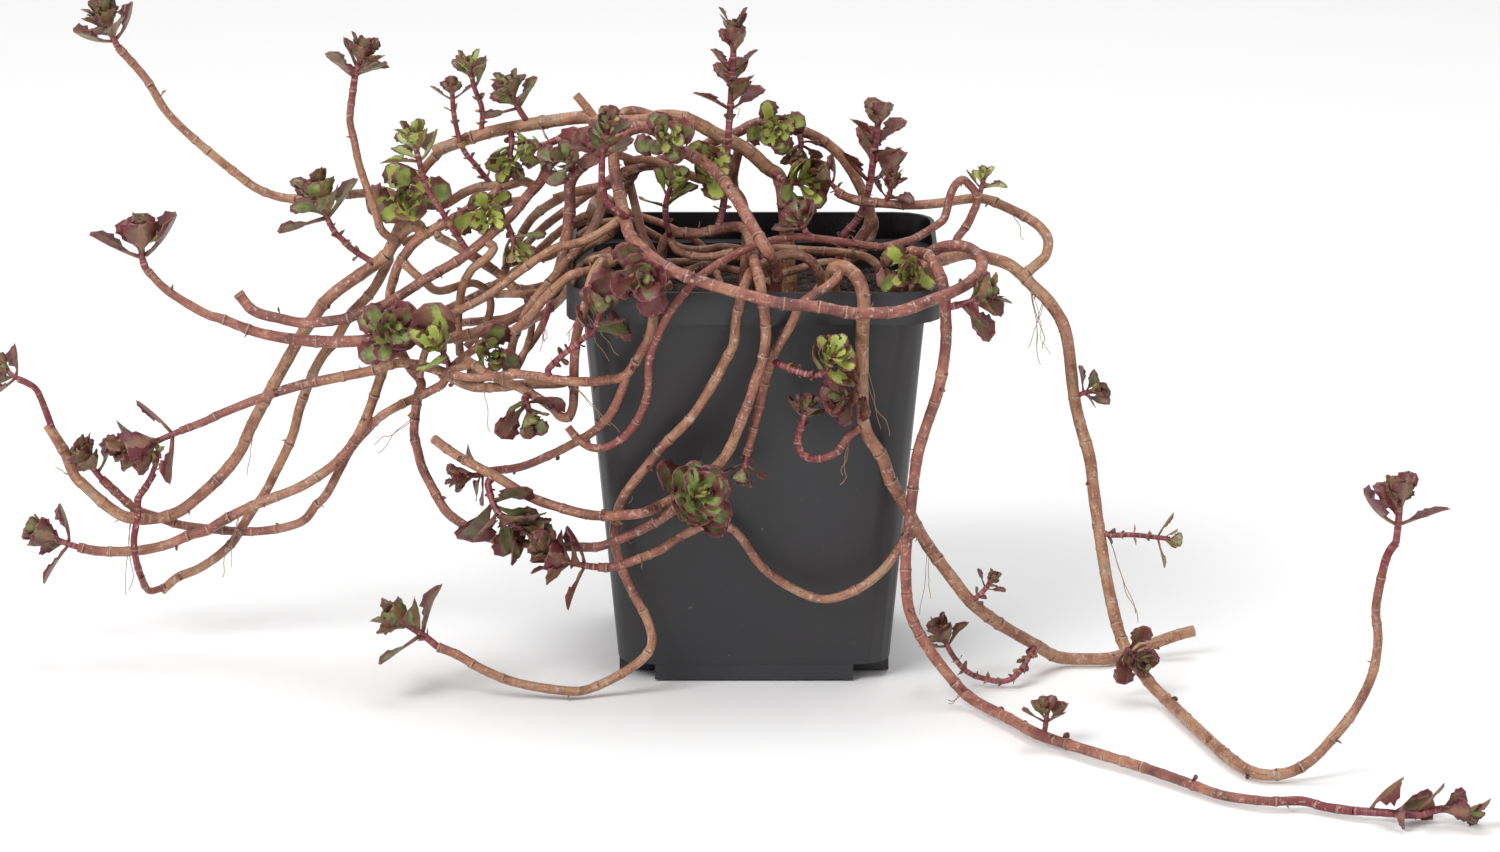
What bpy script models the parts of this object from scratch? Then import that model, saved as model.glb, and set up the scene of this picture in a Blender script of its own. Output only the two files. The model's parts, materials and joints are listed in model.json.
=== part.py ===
"""A trailing sedum in a square nursery pot, in metres with +Z up.

The plant is laid out as it is seen from the front: each stem is a list of points that a person would read off
with a ruler held before the plant, and each point also says how far it stands toward the viewer.
"""

from collections import namedtuple
import math

import bmesh
import bpy
from mathutils import Vector
import numpy as np

MM = 0.001

# The pot, in millimetres.
POT_HEIGHT = 101.0
COLLAR_HEIGHT = 8.0
COLLAR_HALF = 45.7
BODY_HALF_TOP = 41.7
BODY_HALF_FOOT = 33.6
FOOT_HEIGHT = 4.0
FOOT_WIDTH = 49.0
WALL = 1.1
CORNER_COLLAR = 10.0
CORNER_BODY = 8.0
FLOOR_THICK = 1.4
DRAIN_RADIUS = 2.2
DRAIN_PLACE = 28.2
SOIL_TOP = 87.0
SOIL_GAP = 0.35
ROOT_DEPTH = 10.0

# The place from which the plant is seen, in millimetres.
EYE_DISTANCE = 1690.0
EYE_TILT = math.radians(14.2)
EYE_TARGET = (-1.0, 0.0, 56.2)
EYE_CENTRE = (-1.0, 63.25)

# How finely the stems are drawn and how far they keep from each other, in millimetres.
STEP = 2.5
STRAIGHT = 0.42
LONGEST = 16.0
CLEAR = 0.8
SEAT = 0.35
BLADE = 0.62

Route = namedtuple("Route", "name node on ground radii way")


def seen_points(line):
    """World points, in millimetres, of rows of (across, up, toward)."""
    line = np.asarray(line, float)
    across = line[:, 0] - EYE_CENTRE[0]
    up = line[:, 1] - EYE_CENTRE[1]
    y = -line[:, 2]
    tilt_cos, tilt_sin = math.cos(EYE_TILT), math.sin(EYE_TILT)
    rise = up * (EYE_DISTANCE + y * tilt_cos) - EYE_DISTANCE * y * tilt_sin
    height = rise / (EYE_DISTANCE * tilt_cos + up * tilt_sin)
    depth = EYE_DISTANCE + y * tilt_cos - height * tilt_sin
    x = across * depth / EYE_DISTANCE + EYE_TARGET[0]
    return np.stack([x, y, height + EYE_TARGET[2]], axis=1)


def toward_at(line, level):
    """How far toward the viewer each seen point stands when it is at a given height."""
    up = line[:, 1] - EYE_CENTRE[1]
    height = level - EYE_TARGET[2]
    tilt_cos, tilt_sin = math.cos(EYE_TILT), math.sin(EYE_TILT)
    top = up * (EYE_DISTANCE - height * tilt_sin) - EYE_DISTANCE * height * tilt_cos
    return -top / (EYE_DISTANCE * tilt_sin - up * tilt_cos)


def smooth_line(points, step):
    """A Catmull-Rom curve through the points, read at even steps."""
    points = np.asarray(points, float)
    ends = np.vstack([2 * points[0] - points[1], points, 2 * points[-1] - points[-2]])
    fine = [points[0]]
    for before, start, end, after in zip(ends, ends[1:], ends[2:], ends[3:]):
        for part in np.linspace(0, 1, 13)[1:]:
            fine.append(
                0.5
                * (
                    2 * start
                    + (end - before) * part
                    + (2 * before - 5 * start + 4 * end - after) * part**2
                    + (3 * start - before - 3 * end + after) * part**3
                )
            )
    fine = np.array(fine)
    run = np.concatenate([[0], np.cumsum(np.linalg.norm(np.diff(fine, axis=0), axis=1))])
    places = np.linspace(0, run[-1], max(3, int(round(run[-1] / step)) + 1))
    return np.stack([np.interp(places, run, fine[:, axis]) for axis in range(fine.shape[1])], axis=1)


def lowest_toward(line, radius):
    """The toward value that rests each seen point on the floor, or on the soil inside the pot."""
    floor = toward_at(line, radius)
    soil = toward_at(line, SOIL_TOP + radius + SEAT)
    inside = COLLAR_HALF - WALL - 1.0
    place = seen_points(np.column_stack([line[:, :2], soil]))
    over_soil = (np.abs(place[:, 0]) < inside) & (np.abs(place[:, 1]) < inside)
    over_soil &= np.abs(line[:, 2]) < inside
    return np.where(over_soil, np.maximum(floor, soil), floor)


def laid_clear(line, radius, placed, own):
    """Moves a seen line to or from the viewer until it clears the stems that are already in place.

    own is the carrying stem and the length of line next to it that may stay near it.
    """
    line = line.copy()
    line[:, 2] = np.maximum(line[:, 2], lowest_toward(line, radius))
    if not placed:
        return line
    others = np.vstack([stem["points"] for stem in placed])
    other_radii = np.concatenate([stem["radii"] for stem in placed])
    other_toward = np.concatenate([stem["line"][:, 2] for stem in placed])
    other_name = np.concatenate([[stem["name"]] * len(stem["points"]) for stem in placed])
    run = np.concatenate([[0], np.cumsum(np.linalg.norm(np.diff(seen_points(line), axis=0), axis=1))])
    side = np.where(line[:, 2][:, None] >= other_toward[None, :], 1.0, -1.0)
    carried = (other_name == own[0])[None, :] & (run[:, None] < own[1])
    spread = np.exp(-(((run[:, None] - run[None, :]) / 9.0) ** 2))
    for _ in range(80):
        points = seen_points(line)
        away = np.linalg.norm(points[:, None, :] - others[None, :, :], axis=2)
        short = radius + other_radii[None, :] + CLEAR - away
        short[carried] = 0
        short = np.where(short > 0, short * side, 0)
        worst = short[np.arange(len(line)), np.abs(short).argmax(axis=1)]
        if not np.abs(worst).max() > 0.02:
            break
        pull = spread * worst[None, :]
        line[:, 2] += 0.6 * pull[np.arange(len(line)), np.abs(pull).argmax(axis=1)]
        line[:, 2] = np.maximum(line[:, 2], lowest_toward(line, radius))
    return line


# Every stem: its name, the node that it is fused into, what it grows on, where it roots in the soil (x, y),
# its radius at both ends and its route as seen from the front. On a carried stem, toward counts from the joint.
STEMS = [
    Route("arch", "stem_arch", None, (9, 3), (1.65, 1.4), [
        (7, 123, -2), (3, 128, 0), (-2, 132.5, 2), (-9, 136, 3), (-13.5, 138.5, 4), (-18.5, 140.5, 4),
        (-24.5, 140.5, 4), (-28.5, 139.5, 4), (-38.5, 139.5, 4), (-42, 140.5, 3), (-54, 139, 1),
        (-67, 136.5, -2), (-80, 132, -4)]),
    Route("arch_stub", "stem_arch", "arch", None, (1.22, 1.1), [
        (-39, 139.5, 0), (-42, 143, 0), (-44.5, 146, 0)]),
    Route("arch_side", "stem_arch", "arch", None, (1.1, 0.98), [
        (-35.5, 139.5, 0), (-38.5, 138, 2), (-45, 136.5, 3), (-51, 134, 3)]),
    Route("arch_back", "stem_arch", "arch", None, (1.34, 1.4), [
        (-25.5, 140.5, 0), (-30, 142, -3), (-33.5, 141, -4), (-38.5, 137.5, -5), (-42, 135, -5),
        (-46, 132, -4), (-49.5, 130, -3), (-51.5, 128, -1), (-53.5, 124, 1), (-56, 121.5, 3),
        (-61.5, 115, 6), (-72, 106, 10), (-78.5, 102, 11), (-82, 100, 12), (-91.5, 94, 12), (-97, 92, 12),
        (-102.5, 90, 12), (-112, 89, 11), (-118, 90, 10), (-125, 92, 9), (-129, 96.5, 8)]),
    Route("arch_front", "stem_arch", "arch", None, (1.46, 1.59), [
        (-31.5, 139.5, 0), (-35.5, 136, 2), (-38, 133, 3), (-41, 130, 4), (-44, 127, 5), (-46, 124, 6),
        (-46, 118.5, 7), (-46.5, 113.5, 8), (-47, 110, 8), (-48, 105, 9), (-49.5, 100, 9),
        (-52, 96.5, 10), (-56, 93, 11), (-61, 90, 12), (-66, 88, 12), (-71.5, 86, 12), (-81, 85, 12),
        (-91.5, 85.5, 12), (-99, 84.5, 11), (-111, 84.5, 10), (-123.5, 86.5, 9), (-133, 90, 8),
        (-137.5, 91.5, 8), (-146.5, 97, 7), (-152, 102.5, 7)]),
    Route("left_high", "stem_left_high", "arch_back", None, (1.28, 1.1), [
        (-54, 123.5, 0), (-58, 124.5, -4), (-61, 123.5, -6), (-68.5, 123, -8), (-73.5, 121, -8),
        (-78, 118.5, -8), (-86, 119, -8), (-92, 122, -8), (-97, 121.5, -7), (-103, 121, -7),
        (-115, 120, -7), (-123, 122, -7), (-129, 126, -7), (-140, 135, -8), (-147, 142, -8),
        (-152, 150, -8), (-159, 158, -8)]),
    Route("knee", "stem_knee", "left_high", None, (1.35, 1.22), [
        (-63.5, 123, 0), (-65.5, 120.5, 3), (-68.5, 119.5, 6), (-72, 117, 8), (-77, 114, 9),
        (-81, 112, 9), (-85, 109, 9), (-87, 106.5, 9), (-89, 103.5, 9), (-90.5, 98.5, 9), (-91, 95.5, 9),
        (-90, 87, 9), (-87.5, 80.5, 9), (-85, 76.5, 9), (-83, 74.5, 9), (-84, 71, 9), (-85, 62, 9),
        (-84, 57, 10), (-83, 53, 11), (-80.5, 48, 13), (-77, 42, 16), (-72.5, 38.5, 20), (-67, 35.5, 26),
        (-53.5, 33.5, 38), (-40, 33, 45), (-36, 34, 46), (-30, 36.5, 47), (-24, 39.5, 48), (-19, 43, 49)]),
    Route("far_left", "stem_far_left", "knee", None, (1.59, 1.34), [
        (-81, 112, 0), (-85.5, 113.5, -3), (-88, 111.5, -3), (-90.5, 108.5, -3), (-93, 105, -3),
        (-105.5, 96, -3), (-111, 89, -3), (-114, 84.5, -3), (-121.5, 71, -3), (-125.5, 63.5, -3),
        (-127, 60, -3), (-129, 56, -3), (-134, 50, -3), (-142, 43, -2), (-146, 41, -1), (-151, 40, 0),
        (-157, 40.5, 0), (-162, 43.5, 0), (-167, 48, 0), (-170, 51, 0), (-172, 56, 0), (-176.5, 63.5, 0)]),
    Route("far_left_shoot", "stem_far_left", "far_left", None, (0.98, 0.85), [
        (-175, 61, 0), (-178, 69.5, 1), (-180, 73, 1), (-184, 75, 1)]),
    Route("slant", "stem_slant", "far_left", None, (1.4, 1.22), [
        (-91, 107.5, 0), (-91.5, 104.5, -3), (-95.5, 97, -5), (-101, 91, -5), (-105, 84, -6),
        (-107, 82, -6), (-110, 77, -5), (-113.5, 68, -4), (-115, 62, -4), (-117, 57, -4), (-120, 51, -4),
        (-122, 47, -4), (-125.5, 42, -4), (-128, 38, -4), (-130.5, 34, -4), (-135, 30, -4),
        (-140, 27, -4), (-144, 25.5, -4), (-148, 22, -4)]),
    Route("slant_shoot", "stem_slant", "slant", None, (0.98, 0.92), [
        (-147, 23, 0), (-151, 22, 2), (-153, 25, 6), (-154.5, 30, 11), (-155, 35, 12), (-154, 41, 12),
        (-154, 45, 11), (-152, 48, 10), (-150, 51.5, 9)]),
    Route("left_up", "stem_left_up", "far_left", None, (1.16, 0.92), [
        (-89, 109.5, 0), (-90, 110, 2.5), (-93, 112, 5), (-95, 118, 6), (-98.5, 128, 6), (-100, 135, 6),
        (-101, 140, 6), (-100, 149, 6)]),
    Route("side", "stem_side", None, (-36, -29), (1.34, 1.22), [
        (-37.5, 103.5, 39), (-39.5, 102.5, 43), (-41.2, 98, 46.5), (-42, 94, 46.8), (-43.5, 89, 46.5),
        (-44.5, 85, 46), (-45, 77, 45), (-45, 72, 44), (-45.5, 67, 43), (-47.5, 65, 43), (-50, 67.5, 42),
        (-53.5, 70, 40), (-57, 72, 38), (-61, 74, 35), (-66, 76, 31), (-72, 80, 26)]),
    Route("cross", "stem_cross", "side", None, (1.34, 1.34), [
        (-45, 74, 0), (-48.5, 74, -4), (-58.5, 73.5, -9), (-63.5, 73, -13), (-70, 73, -18),
        (-75, 75, -23), (-78.5, 77, -27), (-88, 79, -32), (-96, 77, -33), (-106, 75, -33),
        (-115, 73, -33), (-124, 70, -33), (-134, 66, -33), (-137, 64.5, -33), (-143.5, 62, -33)]),
    Route("low_front", "stem_low_front", "knee", None, (1.4, 1.34), [
        (-89.5, 83, 0), (-92, 79, 1), (-93.5, 75, 0), (-97, 65, 0), (-100.5, 58.5, 0), (-103.5, 55, 0),
        (-107, 52, 0), (-113.5, 48, 0), (-121, 45, 0), (-126, 43, 0), (-132, 40, 0), (-137, 37, 0),
        (-141, 36, 0), (-147, 33.5, 0), (-155, 32, 0), (-164, 32, 0), (-169, 33, 0)]),
    Route("low_back", "stem_low_back", "cross", None, (1.2, 1.2), [
        (-76, 76, 0), (-80, 72.5, -4), (-88.5, 68.5, -7), (-93.5, 65.5, -12), (-97, 62, -15),
        (-100.5, 58, -15), (-103, 53.5, -15), (-107, 46, -15), (-110, 43, -15), (-112, 40, -15),
        (-117, 38, -15), (-123.5, 37, -15), (-130, 37, -15), (-140, 38, -15), (-145, 39, -15),
        (-149, 40.5, -14), (-153.5, 42, -14), (-156.5, 44, -14), (-163, 50, -13)]),
    Route("loop", "stem_loop", None, (5, -33), (1.71, 1.65), [
        (5.6, 101.5, 38), (4.6, 105, 43), (2.4, 108.5, 48.5), (-3.5, 118.5, 36), (-8, 125, 23),
        (-13, 129.5, 16), (-16, 131, 14), (-20, 133, 13), (-23, 136, 13), (-25.5, 137.5, 13),
        (-28.5, 138, 13), (-31.5, 137, 13), (-34, 134.5, 13), (-35, 132, 14), (-35, 128.5, 15),
        (-34.5, 125, 17), (-33, 118.5, 23), (-32, 114, 29), (-31, 111, 34), (-28.5, 108, 42),
        (-25, 105, 50), (-20, 102, 54), (-13.5, 99.5, 55), (-3.5, 96.5, 56), (6.5, 94, 57),
        (16.5, 93, 57), (24, 91.5, 57), (29, 91.5, 57), (36.5, 92, 56), (45, 95, 54), (49, 96.5, 51),
        (53, 98.5, 47), (56, 101, 42), (57, 104, 37), (55, 107, 33), (51.5, 108.3, 30), (46.5, 107.8, 28),
        (43, 106, 26)]),
    Route("loop_left", "stem_loop", "loop", None, (1.22, 1.1), [
        (-33, 115, 0), (-38.5, 111.5, 1), (-44, 109, 0), (-49, 108, -1), (-53.5, 105.5, -2),
        (-57, 103, -3), (-61, 100, -4), (-65, 97, -4), (-68, 95, -4), (-71, 93.5, -4), (-76, 91, -4)]),
    Route("loop_shoot", "stem_loop", "loop", None, (0.98, 0.85), [
        (-33.5, 116, 0), (-36.5, 119, 2), (-38, 123.5, 3), (-38, 128.5, 3)]),
    Route("high", "stem_high", None, (17, 7), (1.52, 1.34), [
        (18, 100.5, -6), (23, 104, -7), (24.5, 106.5, -7), (26.5, 110, -7), (28, 112, -7), (29, 115, -7),
        (28.5, 118.5, -7), (25, 126, -6), (21.5, 131, -6), (16.5, 135, -6), (11.5, 137, -6),
        (1.5, 139, -6), (-3.5, 137, -5), (-8.5, 135, -4), (-13.5, 133, -4), (-18.5, 131.5, -4),
        (-25, 129, -4), (-28.5, 128, -4), (-33.5, 125, -4), (-38.5, 123, -4), (-43.5, 122, -4),
        (-50, 120, -4)]),
    Route("inner", "stem_inner", None, (-3, -5), (1.22, 1.16), [
        (-2, 113.5, 5), (-4.5, 122, 4), (-13.5, 125, 3), (-17, 126.5, 3), (-21, 128, 3), (-25, 129.5, 3),
        (-28.5, 130, 3), (-32.5, 129, 3)]),
    Route("right_front", "stem_right_front", None, (36, -27), (1.46, 1.34), [
        (38, 105, 34), (41, 106.5, 38), (44, 105.5, 42), (46.2, 101.5, 44.5), (47.5, 97, 46),
        (48, 86.5, 47), (47.5, 80, 47), (46, 72, 47), (43, 63, 46.5), (41, 56.5, 46.5), (40, 50, 46.5),
        (39, 41, 47), (38, 32.5, 48), (38, 24, 50), (39, 16.5, 51), (43, 8.5, 52), (49, 0.5, 55),
        (54.5, -5, 58), (64, -10, 74), (71.5, -14, 87), (84, -18, 101), (97, -22, 113), (108.5, -26, 125),
        (117, -29, 134), (128, -30.5, 140), (137, -30.5, 140), (143, -32, 143), (150, -33, 147)]),
    Route("right_far", "stem_right_far", None, (35.5, -15), (1.52, 1.34), [
        (42.5, 102.8, 22), (46.5, 104.5, 22), (50, 105.6, 20), (54, 106.5, 18), (58, 105.5, 17),
        (63, 104, 17), (66, 102, 17), (70, 98, 17), (74, 94, 18), (78, 86.5, 20), (80, 71, 23),
        (81.5, 64, 25), (84, 55, 28), (85, 46.5, 30), (87, 32.5, 33), (89, 21, 37), (92.5, 8.5, 44),
        (99, -1, 51), (103, -5, 57), (106, -8, 67), (118, -19, 103), (125.5, -23.5, 117),
        (133, -23.5, 118), (139, -20.5, 117), (144, -15.5, 115), (150, -8, 114), (154.5, 1, 113),
        (156, 10, 112), (155.5, 18, 111), (158, 30, 110), (160.5, 34, 110)]),
    Route("right_back", "stem_right_far", "right_far", None, (1.4, 1.22), [
        (67.5, 101, 0), (70.5, 103.5, -1), (73, 106, -2), (73.5, 110, -3), (71.5, 113, -4),
        (68, 115.5, -5), (63, 118, -6), (58, 120, -7), (53, 120, -8), (46.5, 119, -8), (39, 118.5, -8),
        (31.5, 119, -8), (24.5, 120, -8), (20.5, 122, -8)]),
    Route("long_red", "stem_long_red", "right_far", None, (1.1, 1.04), [
        (51, 106, 0), (50.5, 109.5, -2), (53, 113, -3), (54.5, 116, -3), (56, 120, -3), (55, 122, -3),
        (52, 125, -3), (49.5, 122, -2), (48.5, 118.5, -2), (47.5, 115, -1), (45, 113, 0), (40, 110, 2),
        (36.5, 109, 5), (31.5, 108, 8), (24, 109, 11), (16.5, 110, 13), (11.5, 110.5, 14.5),
        (6.5, 110, 18), (1, 108.5, 22.5), (-5, 106, 25), (-13, 101, 29), (-18.5, 95, 32), (-22, 90, 33),
        (-26, 80.5, 32), (-26.5, 72, 30), (-28.5, 66, 29), (-32, 61, 28), (-37, 58, 27), (-41, 58, 26),
        (-44, 60, 25), (-46.5, 63, 24)]),
    Route("pot_right", "stem_pot_right", None, (33, -12), (1.22, 1.1), [
        (31.5, 101.5, 24), (29, 105, 25), (23, 106.5, 25), (16.5, 107, 25), (9, 107.5, 25), (3, 108, 25)]),
    Route("front_right", "stem_front_right", None, (20, -32), (1.59, 1.34), [
        (19.5, 101, 39), (20.5, 102.5, 43), (23, 102.8, 46), (26, 100, 48.5), (27.5, 95, 50),
        (27.2, 89, 49), (27, 70, 46.5), (28, 62, 45), (32, 55.5, 43), (34, 50, 42), (38, 43, 41),
        (43, 34, 40.5), (50, 24.5, 40), (54.5, 19, 38), (61, 14, 34), (70.5, 8.5, 27), (76, 5.5, 22),
        (85, 5, 18), (90.5, 5.5, 16), (97.5, 8, 14), (106, 11, 12), (110, 12, 11)]),
    Route("front_hang", "stem_front_right", "front_right", None, (1.22, 1.16), [
        (23, 102, 0), (20, 99.5, 3), (16.5, 97, 4), (12, 94, 4), (9, 88, 3.5), (5.5, 82, 0.5),
        (3, 75, -1), (1.5, 68.5, -1.5), (-0.5, 61, -1), (-2, 56, -1)]),
    Route("front_bow", "stem_front_right", "front_right", None, (1.1, 0.98), [
        (28, 63, 0), (23.5, 60.5, 2), (21, 57, 2.5), (18, 55.5, 2.5), (14.5, 55, 2.5), (12, 56.5, 2),
        (11, 59.5, 2), (12, 63.5, 2)]),
    Route("front_low", "stem_front_right", "front_right", None, (1.22, 1.16), [
        (41, 37, 0), (37, 33.5, 0), (32, 27, 0), (25, 22, 0), (17, 20, 0), (9, 23, 0), (2, 28, 0),
        (-3, 35, 0), (-6.5, 38, 0), (-12, 38.5, 1), (-19.5, 35, 3), (-23, 32.5, 5), (-29, 30, 7),
        (-35, 28, 8), (-39, 28, 8)]),
    Route("front_left", "stem_front_left", None, (17, -25), (1.34, 1.22), [
        (17, 98.5, 29), (16, 102, 31), (13.5, 105, 32), (11, 106, 33), (7, 106, 34.5), (4, 104.5, 35.5),
        (1, 103, 38), (-1, 101.5, 43), (-2.2, 98.8, 47.6), (-3, 96, 49), (-4.5, 90, 49), (-5, 84, 46.5),
        (-7, 80, 45.5), (-9, 76, 45), (-13.5, 68.5, 44.3), (-17, 64, 43.8), (-23, 58, 43.3),
        (-27, 53, 43), (-32, 46.5, 42.3), (-34, 42, 41.8), (-35, 36, 41.3), (-33.5, 29, 41),
        (-30.5, 22, 41.5), (-27, 15.5, 43), (-25.5, 10, 45), (-27, 6, 46), (-32, 2, 47), (-40, -2, 48),
        (-46, -3, 50), (-59, -1, 49), (-68, 2.5, 49), (-74, 6, 48), (-79, 8, 47)]),
    Route("middle", "stem_middle", None, (-24, -6), (1.35, 1.2), [
        (-22, 110, 8), (-13.5, 111.5, 8), (-7, 112.8, 10), (-3.5, 113, 13), (-1.8, 111.8, 19),
        (-0.8, 109, 30), (0, 105, 44), (1, 101.5, 49.5), (2, 96, 51.5), (3, 86.5, 50), (2, 79, 49.3),
        (0.5, 75, 48.5), (-1, 70, 48), (-3, 65, 47.5), (-5, 60, 47), (-6.5, 57, 47), (-9, 53.5, 47),
        (-13.5, 50, 47), (-17, 47, 47), (-26.5, 42, 47.5), (-33, 41, 47), (-41, 41, 44), (-49, 43, 40),
        (-56, 45.5, 36), (-63.5, 50, 30), (-71, 54, 24), (-76, 57, 19), (-80, 60, 15)]),
    Route("corner", "stem_corner", None, (-24, -33), (1.4, 1.22), [
        (-24.3, 101, 44), (-24.8, 99.3, 47.2), (-25, 96, 48.5), (-25, 92, 48.5), (-26, 86, 48),
        (-28, 82, 46.5), (-32, 76, 45), (-36, 75, 45.5), (-41, 74.3, 46.5), (-47, 74.5, 47),
        (-53.5, 75.5, 44), (-61, 76.5, 39)]),
    Route("corner_low", "stem_corner", "corner", None, (1.22, 1.1), [
        (-31.5, 76.5, 0), (-33.5, 71, 0), (-36, 66, -1), (-40, 62, -3), (-45, 59, -6), (-51, 56, -12),
        (-58.5, 53, -21), (-66, 52, -28)]),
    Route("left_rim", "stem_left_rim", None, (-30, -10), (1.4, 1.22), [
        (-29, 108.5, 16), (-32, 107, 21), (-36, 104, 29), (-42, 101.8, 37), (-46, 100.8, 39),
        (-52, 95.5, 37), (-57, 89.5, 31), (-62, 86, 25), (-69, 83.5, 18)]),
    Route("left_brown", "stem_left_brown", "high", None, (1.34, 1.22), [
        (-37.5, 123.5, 0), (-38.5, 117, 6), (-41, 111.5, 14), (-44.5, 107, 20), (-50, 100.5, 24),
        (-56, 93, 24), (-60, 85, 20), (-61, 79, 18)]),
    Route("tangle_a", "stem_tangle_a", "arch_back", None, (1.22, 1.1), [
        (-63, 113.3, 0), (-66, 106, 2), (-70, 103, 2), (-72.5, 99, 1), (-73.5, 95, 0), (-74, 89, 0),
        (-73.5, 81, 0)]),
    Route("tangle_b", "stem_tangle_b", "knee", None, (1.16, 1.1), [
        (-81, 112, 0), (-75, 108.5, -2), (-69, 104.5, -3), (-63.5, 101, -3), (-58.5, 97.5, -2),
        (-52, 98.5, -1)]),
    Route("tangle_c", "stem_tangle_c", "knee", None, (1.16, 1.04), [
        (-88, 105.5, 0), (-85.5, 102, 3), (-82, 99, 4), (-78.5, 97, 3), (-70, 99, 0), (-66, 95, -2),
        (-67, 89, -3), (-72, 83, -2)]),
    Route("inner_down", "stem_inner", "inner", None, (1.15, 1.0), [
        (-4.5, 122, 0), (-2, 117, 3), (2, 109.5, 6), (5.5, 102, 8), (8, 94, 9)]),
    Route("middle_low", "stem_middle", "middle", None, (1.1, 1.0), [
        (-21, 110, 0), (-19, 107, 3), (-12, 105.5, 6), (-5, 107, 7)]),
    Route("high_drop", "stem_high", "high", None, (1.15, 1.0), [
        (-29, 128, 0), (-33.5, 121, -6), (-38, 117.5, -9), (-45, 114.5, -10), (-52, 109, -10),
        (-59, 102, -10)]),
    Route("front_across", "stem_arch", "arch_front", None, (1.15, 1.1), [
        (-52.5, 96, 0), (-57, 92, -6), (-63, 90, -12), (-73.5, 89, -15), (-81, 87.5, -15),
        (-88.5, 86, -15)]),
    Route("back_across", "stem_arch", "arch_back", None, (1.15, 1.0), [
        (-57, 120.5, 0), (-62, 119, -6), (-70, 116, -10), (-78.5, 113, -11), (-88, 109, -11)]),
]

Spray = namedtuple("Spray", "name node on ground radius leaf pairs spacing opening turn hue way")

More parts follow.
